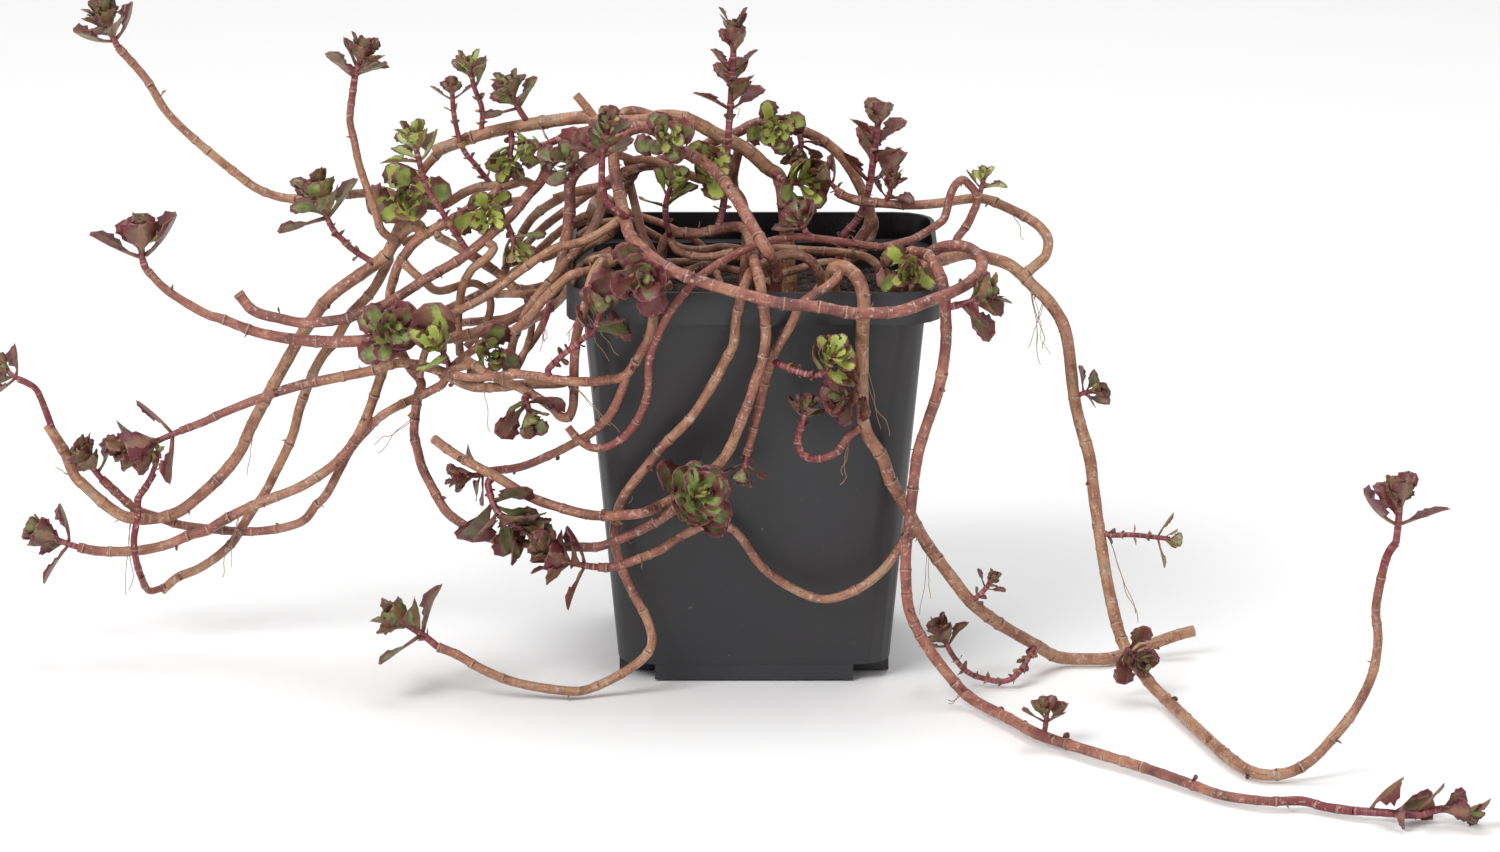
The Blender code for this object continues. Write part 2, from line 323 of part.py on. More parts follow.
# Every leafy shoot: its name, the node that it is fused into (None for a node of its own), what it grows on,
# where it roots, its radius, its longest leaf, its pairs of leaves and their spacing along the shoot, how wide
# the lowest pair opens, how the first pair is turned round the shoot, its colour and its route.
SPRAYS = [
    Spray("tip_high_left", None, "left_high", None, 0.8, 8.0, 3, 2.4, 70, 10, "mixed", [
        (-159, 158, 0), (-160.5, 161, 0), (-162, 165, 0)]),
    Spray("tip_up_left", None, "left_up", None, 0.8, 8.5, 3, 2.4, 70, 60, "mixed", [
        (-100, 149, 0), (-99.5, 152, 0), (-98, 156, 0)]),
    Spray("tip_left", None, "arch_front", None, 0.9, 12.0, 2, 2.5, 62, 0, "burgundy", [
        (-152, 102.5, 0), (-153, 105.5, 0), (-153, 109, 0)]),
    Spray("bough_left", None, "far_left", None, 0.8, 10.5, 3, 2.6, 75, 20, "mixed", [
        (-94, 104, 0), (-100.5, 107.5, 1), (-103, 110, 1.5), (-105, 112, 2), (-107, 116, 2),
        (-109, 121, 2)]),
    Spray("bud_far_left", "stem_far_left", "far_left_shoot", None, 0.7, 7.5, 2, 2.4, 75, 30, "burgundy", [
        (-184, 75, 0), (-185.5, 76, 0), (-187, 77.5, 0)]),
    Spray("tip_low_back", None, "low_back", None, 0.8, 8.0, 3, 2.4, 75, 0, "mixed", [
        (-163, 50, 0), (-165.5, 53, 0), (-167.5, 56, 0)]),
    Spray("tip_cross", None, "cross", None, 0.8, 9.0, 4, 3.4, 72, 15, "mixed", [
        (-143.5, 62, 0), (-147, 60.5, 0), (-152, 58.5, 0), (-156, 58, 0)]),
    Spray("tip_low_front", None, "low_front", None, 0.8, 9.0, 3, 2.6, 72, 0, "burgundy", [
        (-169, 33, 0), (-172, 34, 0), (-177, 36, 0)]),
    Spray("bud_slant", "stem_slant", "slant_shoot", None, 0.7, 4.8, 3, 2.2, 60, 20, "green", [
        (-150, 51.5, 0), (-149.5, 54, 0), (-149, 57, 0)]),
    Spray("bough_back", None, "arch_back", None, 0.8, 8.0, 3, 2.4, 70, 30, "green", [
        (-71.5, 107, 0), (-75, 112, 1), (-77, 115, 1), (-79, 118.5, 1), (-81.5, 122, 1),
        (-83.5, 128.5, 0), (-85, 135, 0)]),
    Spray("rosette_left", None, "left_high", None, 0.9, 8.5, 3, 1.7, 80, 10, "green", [
        (-86, 119, 0), (-86.5, 119.6, 4), (-86.5, 120, 8)]),
    Spray("bud_crown_a", "stem_left_high", "left_high", None, 0.7, 4.5, 2, 2.2, 60, 0, "mixed", [
        (-66, 123, 0), (-70, 129, -1), (-73, 133, -1), (-75, 141, -1), (-75.5, 148, -1)]),
    Spray("bud_crown_b", "stem_arch", "arch", None, 0.7, 6.5, 3, 2.2, 65, 40, "mixed", [
        (-67.5, 136.5, 0), (-68, 142.5, 1), (-70, 148, 1), (-71, 153, 1)]),
    Spray("tip_crown", None, "arch", None, 0.8, 7.5, 3, 2.4, 70, 20, "mixed", [
        (-57, 138.5, 0), (-58.5, 142, 1), (-60, 145, 1), (-61, 148, 1)]),
    Spray("bud_crown_c", "stem_arch", "arch", None, 0.8, 7.5, 3, 2.2, 75, 45, "green", [
        (-60, 138, 0), (-60.5, 134.5, 3), (-61, 131, 5), (-61, 129, 7)]),
    Spray("bud_crown_side", "stem_arch", "arch_side", None, 0.8, 7.5, 3, 2.2, 75, 30, "green", [
        (-51, 134, 0), (-53, 133.5, 1), (-56, 133.5, 2)]),
    Spray("rosette_knee", None, "knee", None, 0.8, 8.0, 3, 1.7, 78, 0, "lime", [
        (-68, 119.3, 0), (-67, 117.5, 3), (-66.5, 116, 7)]),
    Spray("bud_back", "stem_arch", "arch_back", None, 0.8, 7.0, 2, 2.2, 70, 20, "green", [
        (-62, 114.5, 0), (-60.5, 111, 2), (-60, 107.5, 3)]),
    Spray("bud_fork", "stem_arch", "arch_front", None, 0.8, 8.0, 2, 1.8, 75, 70, "burgundy", [
        (-44.5, 126.5, 0), (-46, 128.5, 3), (-46.5, 129.5, 6)]),
    Spray("tip_loop", None, "loop_shoot", None, 0.8, 7.5, 4, 2.5, 65, 30, "mixed", [
        (-38, 128.5, 0), (-37.9, 131, 0.2), (-37.2, 134, 0.8), (-36.5, 138, 2)]),
    Spray("rosette_crown", None, "loop", None, 0.9, 7.0, 3, 1.7, 78, 15, "mixed", [
        (-21, 133.7, 0), (-21.5, 134.6, 4), (-21.5, 135.5, 8)]),
    Spray("bough_inner", None, "middle", None, 0.8, 9.5, 3, 2.6, 65, 60, "lime", [
        (-20.5, 110.3, 0), (-22, 115, 1), (-22, 119, 2), (-20.5, 124, 3)]),
    Spray("rosette_inner", None, "inner", None, 0.8, 8.5, 3, 1.8, 78, 30, "lime", [
        (-12.5, 124.8, 0), (-12, 126, 4), (-11.5, 127.5, 7)]),
    Spray("tall_middle", None, "middle", None, 0.9, 8.5, 5, 4.6, 62, 25, "mixed", [
        (-8.5, 112.5, 0), (-7.5, 120, -1), (-6.5, 135, -1), (-5.5, 150, -1.5), (-5, 162, -2)]),
    Spray("bud_high", "stem_high", "high", None, 0.8, 7.0, 3, 1.8, 76, 10, "green", [
        (4, 138.7, 0), (5, 138, 3), (5.5, 137.5, 6)]),
    Spray("bud_high_low", "stem_high", "high", None, 0.8, 6.0, 2, 2.0, 70, 50, "burgundy", [
        (12, 136.8, 0), (11.8, 134, 2.5), (11.5, 131.5, 4)]),
    Spray("tip_pot", None, "arch", None, 0.8, 10.0, 3, 2.2, 75, 20, "green", [
        (4.5, 126.5, 0), (7, 125, 3), (9.5, 124, 5), (12, 124, 8)]),
    Spray("bud_right_back", "stem_right_far", "right_back", None, 0.7, 6.0, 2, 2.2, 65, 0, "burgundy", [
        (20.5, 122, 0), (19.3, 123.8, 0), (17.5, 126, 0)]),
    Spray("tall_right", None, None, (20, 0), 1.0, 9.5, 4, 4.6, 62, 30, "mixed", [
        (22, 110, 2), (24.5, 113, 2), (26.5, 116, 2), (28, 120, 2), (29, 124, 2), (30, 131, 2),
        (31, 139, 2)]),
    Spray("bud_red", "stem_long_red", "long_red", None, 0.7, 6.5, 2, 2.0, 70, 0, "crimson", [
        (14, 110.3, 0), (12.5, 112.5, 1), (11.5, 115, 2)]),
    Spray("bud_red_loop", "stem_long_red", "long_red", None, 0.7, 5.0, 2, 2.0, 65, 20, "green", [
        (55.8, 120.5, 0), (57, 123, 0), (57.5, 125.5, 0)]),
    Spray("rosette_rim", None, "right_front", None, 0.8, 8.0, 3, 1.7, 78, 40, "green", [
        (38.5, 105.3, 0), (38.3, 103.5, 4), (38.5, 102.5, 8)]),
    Spray("bough_rim", None, "right_front", None, 0.9, 9.5, 3, 2.8, 75, 25, "burgundy", [
        (47.8, 93.5, 0), (51, 93.5, 2), (55, 94.5, 3), (58, 96, 3)]),
    Spray("rosette_corner", None, "loop", None, 0.9, 9.5, 4, 2.0, 80, 25, "mixed", [
        (-28, 107.6, 0), (-29, 104, 5), (-28.8, 101.5, 9), (-28.5, 101, 13)]),
    Spray("bough_corner", None, "corner", None, 0.8, 8.5, 3, 2.4, 72, 45, "burgundy", [
        (-53.5, 75.5, 0), (-50, 79, 3), (-46, 82.5, 5), (-40, 87.5, 8), (-38.5, 92, 9)]),
    Spray("rosette_tangle", None, "arch_front", None, 0.9, 8.5, 4, 1.7, 80, 40, "mixed", [
        (-90, 85.5, 0), (-90.6, 86.2, 4), (-90.2, 87.4, 8)]),
    Spray("leaf_cross", "stem_cross", "cross", None, 0.8, 11.0, 2, 2.0, 60, 60, "green", [
        (-76, 75.8, 0), (-76.5, 79, 4), (-78.5, 83, 7)]),
    Spray("bud_left_rim", "stem_left_rim", "left_rim", None, 0.7, 7.0, 2, 2.0, 70, 0, "mixed", [
        (-69, 83.5, 0), (-67.5, 82, 3), (-66.5, 81.5, 6)]),
    Spray("rosette_side", None, "side", None, 0.9, 8.5, 3, 2.2, 75, 20, "burgundy", [
        (-57, 72, 0), (-57, 69.5, 4), (-56, 66.5, 7)]),
    Spray("bud_corner_low", "stem_corner", "corner_low", None, 0.8, 7.0, 3, 2.2, 75, 35, "crimson", [
        (-66, 52, 0), (-69, 51, 1), (-73, 51, 2)]),
    Spray("bough_middle", None, "middle", None, 0.9, 9.5, 4, 3.6, 72, 30, "mixed", [
        (-66, 51.5, 0), (-66, 46.5, 4), (-64.5, 42.5, 7), (-62, 39.5, 9), (-57, 37.5, 9)]),
    Spray("tip_front_low", None, "front_low", None, 0.8, 8.0, 4, 2.8, 72, 10, "burgundy", [
        (-39, 28, 0), (-43, 28.5, 0), (-47, 29.5, 0), (-51, 32, 0)]),
    Spray("rosette_front", None, "knee", None, 1.0, 10.5, 5, 1.8, 82, 20, "mixed", [
        (-19, 43, 0), (-16.5, 44.5, 2), (-14, 46, 7)]),
    Spray("bud_front_hang", "stem_front_right", "front_hang", None, 0.7, 5.0, 2, 2.0, 65, 0, "burgundy", [
        (-2, 56, 0), (-2.2, 54, 0.5), (-2.5, 51, 1)]),
    Spray("bough_front", None, "front_hang", None, 0.8, 7.5, 4, 2.2, 78, 20, "green", [
        (4.5, 79.5, 0), (8, 78, 3), (12, 76.5, 5), (16.5, 76, 6), (19, 78.5, 8), (20, 81, 11)]),
    Spray("rosette_stem", None, "front_right", None, 0.8, 8.0, 3, 1.9, 78, 50, "crimson", [
        (27, 71, 0), (24.5, 71, 2), (22, 70.5, 5)]),
    Spray("bud_bow", "stem_front_right", "front_bow", None, 0.7, 5.5, 2, 2.0, 65, 20, "burgundy", [
        (12, 63.5, 0), (12.5, 65.5, 0.5), (13.5, 68, 1)]),
    Spray("tip_front_left", None, "front_left", None, 0.9, 10.5, 3, 3.0, 70, 20, "mixed", [
        (-79, 8, 0), (-82, 10.5, 0), (-85, 12.5, 0), (-89, 15, 0)]),
    Spray("bud_far_side", "stem_right_far", "right_far", None, 0.7, 6.0, 2, 2.2, 70, 0, "mixed", [
        (86.4, 37, 0), (89, 36, 1), (95, 36, 2), (104, 35, 3)]),
    Spray("bud_far_top", "stem_right_far", "right_far", None, 0.7, 5.0, 2, 2.0, 65, 30, "burgundy", [
        (80, 71, 0), (82.5, 71.5, 1), (85, 72, 2)]),
    Spray("bud_floor", "stem_front_right", "front_right", None, 0.75, 6.0, 3, 2.2, 65, 20, "crimson", [
        (70, 8.5, 0), (66.5, 2, 12), (63, -0.5, 13), (58, 0, 13), (53, 2, 13), (49, 7, 12), (46.5, 13, 12)]),
    Spray("bud_sprout", "stem_front_right", "front_right", None, 0.7, 5.0, 2, 2.0, 60, 0, "crimson", [
        (55, 18.8, 0), (57, 21.5, 1), (59.5, 25, 1)]),
    Spray("bud_crossing", "stem_right_far", "right_far", None, 0.8, 7.0, 3, 2.0, 72, 20, "crimson", [
        (92.5, 8.5, 0), (94, 6.5, 3), (96, 5, 6)]),
    Spray("bud_right_red", "stem_right_far", "right_back", None, 0.7, 5.0, 3, 2.4, 70, 0, "crimson", [
        (33, 119, 0), (34, 121.5, 1), (34.5, 125.5, 1)]),
    Spray("bud_floor_right", "stem_right_front", "right_front", None, 0.7, 6.0, 2, 2.0, 65, 30, "crimson", [
        (72, -14, 0), (73, -11, 0), (73.3, -8, 0)]),
    Spray("tip_far", None, "right_far", None, 0.9, 9.5, 3, 4.2, 70, 15, "mixed", [
        (160.5, 34, 0), (161, 38, 0), (161.5, 44, 0)]),
    Spray("tip_floor", None, "right_front", None, 1.0, 9.0, 6, 5.4, 62, 20, "crimson", [
        (150, -33, 0), (158, -33.5, 2), (166, -34, 4), (172, -32.5, 4), (178, -34, 6)]),
]

# The outline of one half of a leaf: along its length and across its width, from the stalk to the tip.
HALF_LEAF = [(0.67, 0.5, 0.16), (0.8, 0.27, 0.1), (1.0, 0.0, 0.06)]
LEAF_WIDTH = 0.74
LEAF_SEAT = 0.9
TRIES = [
    (0, 0, 1), (-12, 0, 1), (12, 0, 1), (0, 16, 1), (0, -16, 1), (-24, 0, 1), (0, 0, 0.82), (-12, 18, 0.85),
    (-12, -18, 0.85), (-26, 0, 0.75), (14, 18, 0.75), (14, -18, 0.75), (-24, 18, 0.62), (-24, -18, 0.62),
]


def seen_from(point):
    """The (across, up, toward) at which a world point is seen."""
    x, y, z = point
    tilt_cos, tilt_sin = math.cos(EYE_TILT), math.sin(EYE_TILT)
    height = z - EYE_TARGET[2]
    depth = EYE_DISTANCE + y * tilt_cos - height * tilt_sin
    across = (x - EYE_TARGET[0]) * EYE_DISTANCE / depth + EYE_CENTRE[0]
    up = (y * tilt_sin + height * tilt_cos) * EYE_DISTANCE / depth + EYE_CENTRE[1]
    return across, up, -y


def unit(vector):
    return vector / max(np.linalg.norm(vector), 1e-9)


def start_beside(points, radius, carrier, joint):
    """The first point of a carried stem whose end face stands clear of the stem that carries it."""
    last = len(carrier["points"]) - 1
    reach = carrier["radii"][joint] + SEAT
    for index in range(1, len(points) - 1):
        along = unit(points[index + 1] - points[index])
        away = np.linalg.norm(carrier["points"] - points[index], axis=1)
        near = int(away.argmin())
        if joint >= last - 1:
            beyond = unit(carrier["points"][last] - carrier["points"][last - 2])
            slant = np.linalg.norm(np.cross(beyond, along))
            if (points[index] - carrier["points"][last]) @ beyond >= SEAT + 0.1 + radius * slant:
                return index
        else:
            beside = unit(carrier["points"][min(near + 1, last)] - carrier["points"][max(near - 1, 0)])
            if away[near] >= reach + radius * abs(beside @ along):
                return index
    return 1


def grown(route, radii, fused, placed):
    """One stem laid among those in place: its seen line, its world points and its radius at each point."""
    way = [tuple(point) for point in route.way]
    own = ("", 0.0)
    carrier = None
    if route.on:
        carrier = placed[route.on]
        gaps = np.linalg.norm(carrier["line"][:, :2] - np.array(way[0][:2]), axis=1)
        joint = int(gaps.argmin())
        if fused:
            joint = min(joint, len(carrier["line"]) - 2)
        base = carrier["line"][joint]
        way = [tuple(base)] + [(across, up, toward + base[2]) for across, up, toward in way[1:]]
        own = (route.on, 2.4 * (carrier["radii"][joint] + radii[0]) + 1.5)
    elif route.ground:
        way = [seen_from((*route.ground, SOIL_TOP + 2.5))] + way
    line = laid_clear(smooth_line(way, STEP), max(radii), list(placed.values()), own)
    fine = smooth_line(line, 0.5) if carrier and not fused else line
    points = seen_points(fine)
    if carrier and not fused:
        first = start_beside(points, radii[0], carrier, joint)
        fine, points = fine[first:], points[first:]
        keep = sorted(set(range(0, len(fine), 4)) | {len(fine) - 1})
        fine, points = fine[keep], points[keep]
    if route.ground:
        points[0] = (*route.ground, SOIL_TOP + 2.5)
    return {"name": route.name, "line": fine, "points": points, "radii": np.linspace(*radii, len(points))}


def thinned(points):
    """The indices of the points that keep a line's shape within STRAIGHT."""
    def part(first, last):
        if last - first < 2:
            return []
        chord = points[last] - points[first]
        length = np.linalg.norm(chord)
        offset = np.linalg.norm(np.cross(points[first + 1:last] - points[first], chord), axis=1)
        offset /= max(length, 1e-9)
        middle = first + 1 + int(offset.argmax())
        if offset.max() < STRAIGHT and length < LONGEST:
            return []
        if offset.max() < STRAIGHT:
            middle = (first + last) // 2
        return part(first, middle) + [middle] + part(middle, last)

    return [0] + part(0, len(points) - 1) + [len(points) - 1]


def tube(points, radii, sides):
    """Vertices and faces of a round stem with flat ends."""
    along = [unit(points[1] - points[0])]
    along += [unit(after - before) for before, after in zip(points, points[2:])]
    along += [unit(points[-1] - points[-2])]
    side = unit(np.cross(along[0], (0.3, -0.9, 0.31)))
    vertices = []
    for point, radius, direction in zip(points, radii, along):
        side = unit(side - (side @ direction) * direction)
        other = np.cross(direction, side)
        for corner in range(sides):
            angle = 2 * math.pi * corner / sides
            vertices.append(point + radius * (math.cos(angle) * side + math.sin(angle) * other))
    faces = [tuple(reversed(range(sides)))]
    for ring in range(len(points) - 1):
        for corner in range(sides):
            following = (corner + 1) % sides
            low, high = ring * sides, (ring + 1) * sides
            faces.append((low + corner, low + following, high + following, high + corner))
    faces.append(tuple(range((len(points) - 1) * sides, len(points) * sides)))
    return vertices, faces


def leaf_points(leaf):
    """The upper and lower points of one cupped leaf with a scalloped edge, round from one side to the other."""
    up = np.cross(leaf["along"], leaf["wide"])
    width = LEAF_WIDTH * leaf["length"]
    outline = HALF_LEAF + [(far, -out, lift) for far, out, lift in reversed(HALF_LEAF[:-1])]
    middle = [
        leaf["base"] + far * leaf["length"] * leaf["along"] + out * width * leaf["wide"] + lift * width * up
        for far, out, lift in outline
    ]
    return [point + 0.5 * BLADE * up for point in middle], [point - 0.5 * BLADE * up for point in middle]


def shoot_frames(points, turn):
    """At each point of a shoot its direction and the two directions across it that its leaves grow in."""
    along = [unit(points[1] - points[0])]
    along += [unit(after - before) for before, after in zip(points, points[2:])]
    along += [unit(points[-1] - points[-2])]
    toward = np.array([0.0, -math.cos(EYE_TILT), math.sin(EYE_TILT)])
    flat = np.cross(along[-1], toward)
    if np.linalg.norm(flat) < 0.35:
        flat = np.cross(along[-1], (0.0, 0.0, 1.0))
    flat = unit(flat)
    side = math.cos(turn) * flat + math.sin(turn) * np.cross(along[-1], flat)
    frames = []
    for direction in reversed(along):
        side = unit(side - (side @ direction) * direction)
        frames.append((direction, side, np.cross(direction, side)))
    return frames[::-1]


def leafy_shoot(points, radii, turn, leaves):
    """Vertices and faces of a four-sided shoot whose faces grow out into its leaves."""
    frames = shoot_frames(points, turn)
    vertices = []
    for point, radius, (_, side, other) in zip(points, radii, frames):
        for corner in range(4):
            angle = math.pi * (corner / 2 - 0.25)
            vertices.append(point + radius * (math.cos(angle) * side + math.sin(angle) * other))
    faces = [(3, 2, 1, 0)]
    for ring in range(len(points) - 1):
        for corner in range(4):
            low, high = 4 * ring, 4 * ring + 4
            following = (corner + 1) % 4
            quad = (low + corner, low + following, high + following, high + corner)
            leaf = leaves.get((ring, corner))
            if leaf is None:
                faces.append(quad)
                continue
            upper, lower = leaf_points(leaf)
            count = len(upper)
            top, bottom = len(vertices), len(vertices) + count
            vertices += upper + lower
            above = [quad[2]] + [top + step for step in range(count)] + [quad[3]]
            below = [quad[1]] + [bottom + step for step in range(count)] + [quad[0]]
            tip = (count + 1) // 2
            for step in range(count + 1):
                faces.append((above[step], below[step + 1], below[step]))
                faces.append((above[step], above[step + 1], below[step + 1]))
            fan = [(0, step + 1, step) for step in range(1, tip)] + [(0, count + 1, tip)]
            fan += [(count + 1, step + 1, step) for step in range(tip, count)]
            faces += [(above[first], above[second], above[third]) for first, second, third in fan]
            faces += [(below[third], below[second], below[first]) for first, second, third in fan]
    last = 4 * (len(points) - 1)
    faces.append((last, last + 1, last + 2, last + 3))
    return vertices, faces


def half_at(height):
    """Half the pot's outer width and its corner radius at a height."""
    if height >= POT_HEIGHT - COLLAR_HEIGHT - 0.6:
        return COLLAR_HALF, CORNER_COLLAR
    share = max(0.0, (height - FOOT_HEIGHT) / (POT_HEIGHT - COLLAR_HEIGHT - FOOT_HEIGHT))
    return BODY_HALF_FOOT + (BODY_HALF_TOP - BODY_HALF_FOOT) * share, CORNER_BODY


def wall_distance(point):
    """How far a point lies outside the pot's outer wall, negative inside."""
    half, corner = half_at(point[2])
    across = abs(point[0]) - half + corner
    deep = abs(point[1]) - half + corner
    return math.hypot(max(across, 0), max(deep, 0)) + min(max(across, deep), 0) - corner


def clears_pot(points):
    for point in points:
        if point[2] < 0.45:
            return False
        if point[2] > POT_HEIGHT + 0.8:
            continue
        outside = wall_distance(point)
        if outside < 0.8 and not (outside < -WALL - 0.9 and point[2] > SOIL_TOP + 0.9):
            return False
    return True


def leaf_grid(base, along, wide, length):
    """Points spread over a leaf, for measuring what lies near it."""
    up = np.cross(along, wide)
    width = LEAF_WIDTH * length
    rows = [(0.34, 0.27), (0.5, 0.4), (0.66, 0.5), (0.82, 0.38), (1.0, 0.05)]
    return np.array([
        base + far * length * along + out * edge * width * wide + abs(out) * 0.17 * width * up
        for far, edge in rows for out in (-1.0, -0.5, 0.0, 0.5, 1.0)
    ])


def leafy_points(spray, shoot):
    """The points of a shoot with a short stretch for each pair of leaves, and where those stretches start."""
    points = shoot["points"]
    run = np.concatenate([[0], np.cumsum(np.linalg.norm(np.diff(points, axis=0), axis=1))])
    seats = [run[-1] - LEAF_SEAT - (spray.pairs - 1 - pair) * spray.spacing for pair in range(spray.pairs)]
    seats = [seat for seat in seats if seat > 0.3]
    bends = [run[index] for index in thinned(points)]
    places = [place for place in bends[:-1] if place < seats[0] - 1.2]
    for seat in seats:
        places += [seat, seat + LEAF_SEAT]
    if places[0] > 0:
        places = [0.0] + places
    spots = np.stack([np.interp(places, run, points[:, axis]) for axis in range(3)], axis=1)
    radii = np.interp(places, run, shoot["radii"])
    return spots, radii, [places.index(seat) for seat in seats]


def leaf_is_clear(grid, base, spray, own_node, stems, blades):
    """Whether a leaf keeps off the pot, the stems and every other leaf."""
    if not clears_pot(grid):
        return False
    for stem in stems.values():
        if stem["name"] == spray.name:
            continue
        own = stem["node"] == own_node or stem["name"] == spray.on and spray.node
        room = 0.45 if own else 0.95
        tested = grid[10:] if own else grid
        reach = stem["radii"] + room
        near = np.linalg.norm(stem["points"] - base, axis=1) < 20
        if near.any():
            away = np.linalg.norm(tested[:, None] - stem["points"][near][None], axis=2)
            if (away < reach[near][None]).any():
                return False
    for leaf in blades:
        if np.linalg.norm(leaf["base"] - base) > 26:
            continue
        same = leaf["shoot"] == spray.name
        tested, other = (grid[10:], leaf["grid"][10:]) if same else (grid, leaf["grid"])
        if (np.linalg.norm(tested[:, None] - other[None], axis=2) < (0.95 if same else 1.9)).any():
            return False
    return True


def leaf_places(spray, shoot, stems, blades):
    """The leaves of one shoot in crossed pairs, each turned until it clears the stems and the other leaves."""
    points, _, seats = leafy_points(spray, shoot)
    frames = shoot_frames(points, math.radians(spray.turn))
    own_node = spray.node or spray.name
    leaves = {}
    for pair, ring in enumerate(seats):
        share = pair / max(1, len(seats) - 1)
        stalk, side, other = frames[ring]
        middle = 0.5 * (points[ring] + points[ring + 1])
        for corner in (pair % 2, pair % 2 + 2):
            for open_change, turn_change, scale in TRIES:
                turn = math.radians(90 * corner + turn_change)
                opening = math.radians(max(32, spray.opening * (1 - 0.5 * share) + open_change))
                length = spray.leaf * (1 - 0.4 * share) * scale
                sideways = math.cos(turn) * side + math.sin(turn) * other
                along = math.cos(opening) * stalk + math.sin(opening) * sideways
                wide = np.cross(stalk, sideways)
                base = middle + 0.7 * spray.radius * sideways
                grid = leaf_grid(base, along, wide, length)
                if leaf_is_clear(grid, base, spray, own_node, stems, blades):
                    leaf = {"node": own_node, "shoot": spray.name, "base": base, "along": along, "wide": wide,
                            "length": length, "grid": grid}
                    leaves[ring, corner] = leaf
                    blades.append(leaf)
                    break
    return leaves


COLOURS = {
    "pot": ((0.055, 0.05, 0.052), 0.42),
    "soil": ((0.018, 0.014, 0.012), 0.95),
    "bark": ((0.42, 0.25, 0.15), 0.6),
    "burgundy": ((0.12, 0.03, 0.045), 0.5),
    "crimson": ((0.36, 0.03, 0.06), 0.5),
    "mixed": ((0.2, 0.12, 0.06), 0.5),
    "green": ((0.18, 0.25, 0.07), 0.5),
    "lime": ((0.33, 0.4, 0.1), 0.5),
}


def material(name):
    colour, roughness = COLOURS[name]
    found = bpy.data.materials.new(name)
    found.use_nodes = True
    shader = found.node_tree.nodes["Principled BSDF"]
    shader.inputs["Base Color"].default_value = (*colour, 1.0)
    shader.inputs["Roughness"].default_value = roughness
    shader.inputs["Metallic"].default_value = 0.0
    return found


def solid(name, vertices, faces, finish):
    """A mesh object in metres from vertices in millimetres."""
    mesh = bpy.data.meshes.new(name)
    mesh.from_pydata([Vector(vertex) * MM for vertex in vertices], [], faces)
    mesh.materials.append(finish)
    made = bpy.data.objects.new(name, mesh)
    bpy.context.scene.collection.objects.link(made)
    return made


def boolean(target, others, operation):
    """Joins or cuts target with the other objects, applies it and removes them."""
    group = bpy.data.collections.new(target.name + "_pieces")
    bpy.context.scene.collection.children.link(group)
    for other in others:
        bpy.context.scene.collection.objects.unlink(other)
        group.objects.link(other)
    modifier = target.modifiers.new(operation.title(), "BOOLEAN")
    modifier.operation = operation
    modifier.operand_type = "COLLECTION"
    modifier.collection = group
    modifier.solver = "EXACT"
    graph = bpy.context.evaluated_depsgraph_get()
    result = bpy.data.meshes.new_from_object(target.evaluated_get(graph))
    target.modifiers.clear()
    before = target.data
    target.data = result
    bpy.data.meshes.remove(before)
    for other in list(group.objects):
        mesh = other.data
        bpy.data.objects.remove(other)
        bpy.data.meshes.remove(mesh)
    bpy.data.collections.remove(group)


def rounded_square(half, corner, height, segments=4):
    """The corners of a square with rounded corners, counter-clockwise from above."""
    ring = []
    for quarter in range(4):
        for step in range(segments + 1):
            angle = math.pi / 2 * (quarter + step / segments)
            sign_x = 1 if quarter in (0, 3) else -1
            sign_y = 1 if quarter in (0, 1) else -1
            ring.append((
                sign_x * (half - corner) + corner * math.cos(angle),
                sign_y * (half - corner) + corner * math.sin(angle),
                height,
            ))
    return ring


def lofted(rings):
    """Vertices and faces of a closed solid through rings of as many points, first to last."""
    count = len(rings[0])
    vertices = [point for ring in rings for point in ring]
    faces = [tuple(reversed(range(count)))]
    for ring in range(len(rings) - 1):
        for step in range(count):
            following = (step + 1) % count
            low, high = ring * count, (ring + 1) * count
            faces.append((low + step, low + following, high + following, high + step))
    faces.append(tuple(range(len(vertices) - count, len(vertices))))
    return vertices, faces


def post(x, y, low, high, radius, sides=8):
    """Vertices and faces of an upright cylinder."""
    return tube(np.array([(x, y, low), (x, y, high)], float), [radius, radius], sides)


def block(half_x, half_y, low, high):
    corners = [(-half_x, -half_y), (half_x, -half_y), (half_x, half_y), (-half_x, half_y)]
    return lofted([[(x, y, low) for x, y in corners], [(x, y, high) for x, y in corners]])


